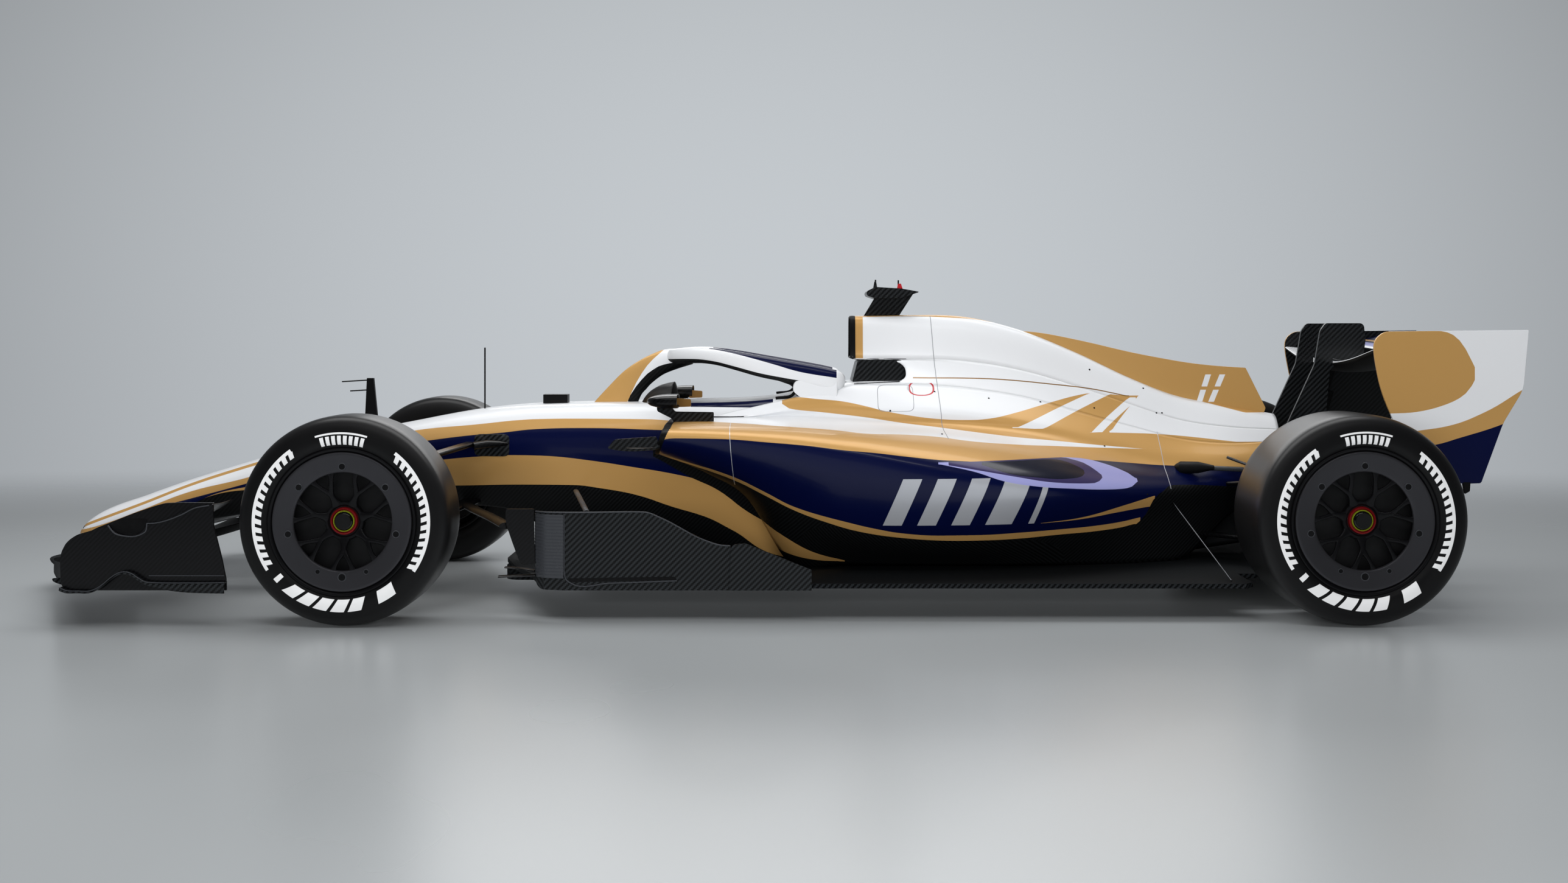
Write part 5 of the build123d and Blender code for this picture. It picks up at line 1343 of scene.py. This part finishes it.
# Grey rods along the board's top edge and lower lip: painted highlights where those edges catch the light.
board_lines = [
    rod([(-762, 742, 368), (-728, 778, 369), (-660, 798, 370), (-420, 798, 372)], 2.6),
    rod([(-420, 798, 372), (-372, 798, 369), (-330, 798, 352), (-170, 798, 272), (-128, 798, 259),
         (-92, 798, 256)], 2.6),
    rod([(-657, 802, 366), (-657, 802, 170)], 1.8),
    rod([(-657, 802, 172), (-650, 802, 142), (-628, 802, 127), (-500, 802, 130), (-274, 802, 138)], 2.2),
]
piece("board_edge_highlights", both(board_lines), EDGE)
edge, faces = panel([(-865, 377), (-768, 377), (-764, 190), (-812, 184), (-838, 250), (-865, 330)],
                    741, 748, [8, 4, 4, 16, 30, 20])
blades = [
    rod([(-893, 716, 140), (-850, 722, 143), (-800, 735, 147), (-760, 744, 150)], 15, 0.3),
    rod([(-872, 700, 170), (-840, 712, 170), (-800, 730, 168), (-764, 742, 164)], 12, 0.3),
    rod([(-1110, 170, 334), (-1046, 330, 330), (-960, 500, 322), (-864, 736, 318)], 26, 0.45),
]
piece("floor_vanes", both(edge + blades), GLOSS_CARBON, plates=both(faces))
# The slats wear the grey of painted highlight, standing for light on their ridges.
piece("board_slats", both([ribbed_strip()]), EDGE, wall=1.5)
piece("board_stays", both([rod([(-684, 258, 393), (-632, 530, 383), (-581, 796, 372)], 10, 0.6)]), CAST,
      slot="cast_alloy")
# A thin black strip where a slot shows dark: painted shade, as no slot is cut.
edge, faces = panel([(-640, 133), (-640, 146), (-282, 152), (-274, 141)], 800.4, 801.4, 2)
piece("board_slot_shade", both(edge), SATIN_BLACK, plates=both(faces))

# ---------------------------------------------------------------------------------------
# Mirrors
# ---------------------------------------------------------------------------------------
def mirror_shell():
    """The housing: a rounded box whose size swells from its front with t, the way aft, as
    (1 - (1 - t)^2.4)^(1 / 2.4), and which then turns in round the glass."""
    front = np.linspace(0, 1, 16) ** 2
    t = np.concatenate([front, [1.06, 1.07, 1.04, 0.98]])[:, None]
    size = np.concatenate([(1 - (1 - front) ** 2.4) ** (1 / 2.4), [1.0, 0.97, 0.93, 0.92]])[:, None]
    across_it, up = oval(84, 25, 3.4, 44).T
    return np.stack([-399 + 104 * t + 0 * up, 500 + size * across_it, 737 + size * up], axis=-1)


shell = mirror_shell()
pane = capped(np.stack([shell[-1], shell[-1] - [0.5, 0, 0]]))
piece("mirror_pods", both([shell, pane]), [GLOSS_CARBON, GLASS], slot="body_paint", groups=[0, 1, 0, 1],
      stands_for=("mirrors",))
# A gold plate at each mirror's inner back: painted reflection of gold in the glass.
edge, faces = panel([(-300, 745), (-246, 741), (-246, 714), (-300, 712)], 424, 430, 5)
piece("mirror_ends", both(edge), GOLD_REFLECTION, slot="body_paint", plates=both(faces))
edge, faces = panel([
    (-366, 722), (-364, 700), (-312, 674), (-304, 659), (-161, 659), (-161, 697), (-300, 699), (-318, 724)
], 478, 487, [4, 6, 6, 3, 5, 5, 6, 4])
arms = [rod([(-338, 483, 712), (-345, 490, 722), (-348, 500, 730)], 10),
        rod([(-330, 480, 704), (-336, 360, 706), (-332, 236, 702)], 12, 0.4)]
piece("mirror_stands", both(edge + arms), CARBON, plates=both(faces), stands_for=("mirrors",))

# ---------------------------------------------------------------------------------------
# Small parts
# ---------------------------------------------------------------------------------------
def on_cover(x, z):
    """The outermost place of the cover at a station, within 6 mm of a height."""
    v = np.linspace(0, SPINE, 400)
    line = cover(x + 0 * v, v)
    near = line[np.abs(line[:, 2] - z) < 6]
    return near[np.argmax(near[:, 1])]


def fastener(place):
    """A small flat-domed head, 7 mm across, facing outward."""
    turn = np.linspace(0, 2 * np.pi, 13)[:, None]
    size, out = np.array([(3.6, -2), (3.6, 0.5), (2.6, 1.1), (0, 1.3)]).T
    x, z = place[0] + size * np.cos(turn), place[2] + size * np.sin(turn)
    return np.stack([x, place[1] + out + 0 * x, z], axis=-1)


FASTENER_SPOTS = [  # x and z in mm
    (1265, 844), (655, 766), (860, 740), (1060, 724), (1272, 700), (484, 694), (662, 620), (1474, 772),
    (1518, 678), (1540, 678), (1418, 396), (1530, 390), (1290, 562),
]
piece("fasteners", both([fastener(on_cover(*spot)) for spot in FASTENER_SPOTS]), SATIN_BLACK)
piece("tail_stays", both([rod([(1521, 262, 372), (1629, 742, 130)], 2.2)]), CAST, slot="cast_alloy")
tubes = [rod([(1625, 230, 478), (1700, 246, 476), (1800, 262, 473)], 9),
         rod([(1745, 236, 517), (1790, 248, 500), (1828, 262, 486)], 15, 0.35)]
piece("outlet_tubes", both(tubes), EDGE)
edges, faces = panels(([(436, 1150), (441, 1180), (448, 1181), (453, 1150)], -2.5, 2.5, 2),
                      ([(527, 1138), (532, 1171), (544, 1172), (556, 1136)], -2.5, 2.5, 2))
piece("pod_fins", edges, [SATIN_BLACK, RED], slot="black_plastic", plates=faces, groups=[0, 1, 0, 0, 1, 1])


def flank(x):
    """The cell's outlines at some stations, without the mouth."""
    return hull(CELL, np.array(x, float), CELL_ROUNDING)


def flank_pad(middle_x, middle_z, half_x, half_z, lift):
    """A softened rectangle that lies on the cell's flank. The flank is read across the middle
    station and slopes along the car as it does between the pad's ends."""
    lines = flank([middle_x - half_x, middle_x, middle_x + half_x])
    ends = [np.interp(middle_z, line[:, 2], line[:, 1]) for line in (lines[0], lines[2])]
    slope = (ends[1] - ends[0]) / (2 * half_x)
    share, height = np.array([(1.0, -2), (1.0, 0.6), (0.97, 1), (0.5, 1), (0, 1)]).T[:, :, None]
    flat = oval(half_x, half_z, 6.0, 48) * share[..., None] + [middle_x, middle_z]
    skin = np.interp(flat[..., 1], lines[1][:, 2], lines[1][:, 1])
    y = skin + slope * (flat[..., 0] - middle_x) + lift * height
    return np.stack([flat[..., 0], y, flat[..., 1]], axis=-1)


def arm_root(middle_x, middle_z, reach):
    """The swell where an arm's fairing meets the cell: an oval that dies away aft."""
    line = flank([middle_x])[0]
    out = np.interp(middle_z, line[:, 2], line[:, 1])
    path = [(middle_x - reach, out + 34, middle_z - 6), (middle_x - 0.3 * reach, out + 16, middle_z),
            (middle_x + 0.4 * reach, out + 6, middle_z), (middle_x + reach, out + 2, middle_z)]
    return tapered(path, [0.9, 1.0, 0.8, 0.15], oval(22, 15, 2.2, 24))


piece("arm_pads", both([flank_pad(-1004, 560, 67, 42, 3)]), COARSE_CARBON)
piece("arm_roots", both([arm_root(-1000, 566, 66)]), GLOSS_CARBON)
boot = tapered([(1560, 188, 474), (1580, 205, 475), (1640, 232, 478), (1690, 262, 480)], [0.4, 1, 0.9, 0.35],
               oval(22, 24, 2.0, 24))
piece("arm_boots", both([boot]), SATIN_BLACK)

# ---------------------------------------------------------------------------------------
# Frame nodes that keep their shape
# ---------------------------------------------------------------------------------------
NODE_LOOKS = {
    CARBON: ("camera_pod", "crash_structure", "hoop_base", "wing_pylons"),
    GLOSS_CARBON: ("front_arms", "rear_arms"),
    COARSE_CARBON: ("wake_boards",),
    DULL_CARBON: ("diffuser", "floor", "seat"),
    SATIN_BLACK: ("nose_sensors", "steering_wheel"),
    CAST: ("gearbox", "power_unit"),
    DRUM: ("front_knuckle_left", "front_knuckle_right", "rear_hubs"),
    HOT_STEEL: ("drive_shafts", "exhaust", "steering_column", "steering_rack"),
    FOAM: ("headrest",),
    PLANK: ("plank",),
    LENS: ("rain_light",),
}
for finish, names in NODE_LOOKS.items():
    for name in names:
        NODES[name].data.materials.clear()
        NODES[name].data.materials.append(finish)


# ---------------------------------------------------------------------------------------
# Floor, light and camera
# ---------------------------------------------------------------------------------------
FLOOR_RINGS = np.arange(0, 14, 2.0)  # metres from the middle, half as much again along the car
FLOOR_GAP = 0.0006  # metres of air under the tyres
FLOOR_FADE = (2.9, 6.4)  # metres between which the floor fades out, as the squeezed distance counts them


def studio_floor():
    """A pale polished floor, round in plan, which fades out into the studio's haze: the share that
    shows falls from 1 to 0 between two distances from the middle, longer along the car."""
    ring, turn = FLOOR_RINGS[:, None], np.linspace(0, 2 * np.pi, 97)[None, :]
    grid = np.stack([1.5 * ring * np.cos(turn), ring * np.sin(turn), 0 * ring * turn - FLOOR_GAP], axis=-1)
    mesh = bpy.data.meshes.new("studio floor")
    mesh.from_pydata(grid.reshape(-1, 3).tolist(), [], squares(*grid.shape[:2]).tolist())
    # Ground and sealed concrete: pale grey, lightly clouded, with a soft mirror of what stands on it.
    material, tree, shader = new_material("polished concrete, pale", {"Specular IOR Level": 0.5})
    place = add(tree, "TexCoord").outputs["Object"]
    squeeze = add(tree, "VectorMath", {0: place, 1: (0.6, 1, 1)}, operation="MULTIPLY")
    far = add(tree, "VectorMath", {0: squeeze}, operation="LENGTH").outputs["Value"]
    fade = add(tree, "MapRange", {0: far, 1: FLOOR_FADE[0], 2: FLOOR_FADE[1], 3: 0.0, 4: 1.0},
               interpolation_type="SMOOTHSTEP")
    cloud = add(tree, "TexNoise", {"Vector": place, "Scale": 0.7, "Detail": 2.0, "Roughness": 0.4})
    tone = add(tree, "Mix", {0: cloud, 6: linear("a3a7a9"), 7: linear("aeb2b4")}, data_type="RGBA")
    rough = add(tree, "MapRange", {0: cloud, 1: 0.3, 2: 0.7, 3: 0.27, 4: 0.33})
    feed(tree, shader, {"Base Color": tone.outputs[2], "Roughness": rough})
    blend = add(tree, "MixShader", {0: fade, 1: shader, 2: add(tree, "BsdfTransparent")})
    feed(tree, tree.nodes["Material Output"], {"Surface": blend})
    mesh.materials.append(material)
    thing = bpy.data.objects.new("studio_floor", mesh)
    bpy.context.scene.collection.objects.link(thing)


def softbox(name, place, target, size, power, mirrored=True):
    """An area light that looks at a point, in metres and watts. Glossy surfaces can be kept from
    mirroring it."""
    lamp = bpy.data.lights.new(name, "AREA")
    lamp.shape, lamp.size, lamp.size_y, lamp.energy = "RECTANGLE", size[0], size[1], power
    thing = bpy.data.objects.new(name, lamp)
    thing.location = place
    look = np.subtract(target, place)
    flat = np.hypot(look[0], look[1])
    thing.rotation_euler = (np.pi / 2 + np.arctan2(look[2], flat), 0, np.arctan2(-look[0], look[1]))
    thing.visible_glossy = mirrored
    bpy.context.scene.collection.objects.link(thing)


GLOW_LEVEL, GLOW_ENDS, GLOW_TOP, GLOW_LEAST = 1.03, 1.9, 3.6, 0.2


def studio_air():
    """The room's light by direction: a pale grey wall behind the car and a dark room on the
    camera's side, which is what the near flank mirrors. The glow falls from its level with the
    square of the direction's share along the car and with the square of its share upward."""
    world = bpy.data.worlds.new("studio air")
    world.use_nodes = True
    tree = world.node_tree
    tree.nodes.clear()
    place = add(tree, "TexCoord").outputs["Generated"]
    x, y, z = add(tree, "SeparateXYZ", {0: place}).outputs
    tone = add(tree, "ValToRGB", {0: add(tree, "MapRange", {0: z, 1: -0.15, 2: 0.25})})
    stops = tone.color_ramp.elements
    stops[0].position, stops[0].color = 0.0, linear("bfc4c9")
    stops[1].position, stops[1].color = 1.0, linear("c5cace")
    lengthwise = add(tree, "Math", {0: x, 1: x}, operation="MULTIPLY")
    high = add(tree, "Math", {0: z, 1: 0.0}, operation="MAXIMUM")
    upward = add(tree, "Math", {0: high, 1: high}, operation="MULTIPLY")
    ends = add(tree, "Math", {0: lengthwise, 1: -GLOW_ENDS, 2: GLOW_LEVEL}, operation="MULTIPLY_ADD")
    dim = add(tree, "Math", {0: upward, 1: -GLOW_TOP, 2: ends}, operation="MULTIPLY_ADD")
    least = add(tree, "Math", {0: dim, 1: GLOW_LEAST}, operation="MAXIMUM")
    back = add(tree, "MapRange", {0: y, 1: -0.35, 2: 0.25, 3: 0.15, 4: 1.0})
    glow = add(tree, "Math", {0: least, 1: back}, operation="MULTIPLY")
    air = add(tree, "Background", {"Color": tone, "Strength": glow})
    add(tree, "OutputWorld", {"Surface": air})
    bpy.context.scene.world = world


def camera():
    """The level view square to the car's left side, from 6.5 m off and just under 1 m up."""
    lens = bpy.data.cameras.new("view")
    lens.lens, lens.sensor_width = 38.8, 36.0
    lens.shift_y = -180.5 / 2576  # the eye line stands this share of the width over the middle
    thing = bpy.data.objects.new("view", lens)
    thing.location = (0.091, -6.55, 0.9857)
    thing.rotation_euler = (np.pi / 2, 0, 0)
    bpy.context.scene.collection.objects.link(thing)
    bpy.context.scene.camera = thing


studio_floor()
studio_air()
softbox("overhead", (0, 0.3, 4.2), (0, 0, 0), (6.5, 2.2), 140)
softbox("camera side", (-1.0, -3.2, 4.6), (0, -0.6, 0.0), (9.0, 1.6), 120, mirrored=False)
softbox("camera side strip", (0.0, -5.0, 5.0), (0, 0, 0.6), (7.0, 0.5), 45)
softbox("front fill", (-0.6, -8.0, 1.3), (-0.3, 0, 0.9), (8.0, 1.6), 440, mirrored=False)
softbox("far side", (0.5, 5.0, 3.4), (0, 0, 0.5), (6.0, 1.6), 90)
camera()
bpy.context.scene.view_settings.view_transform = "Standard"
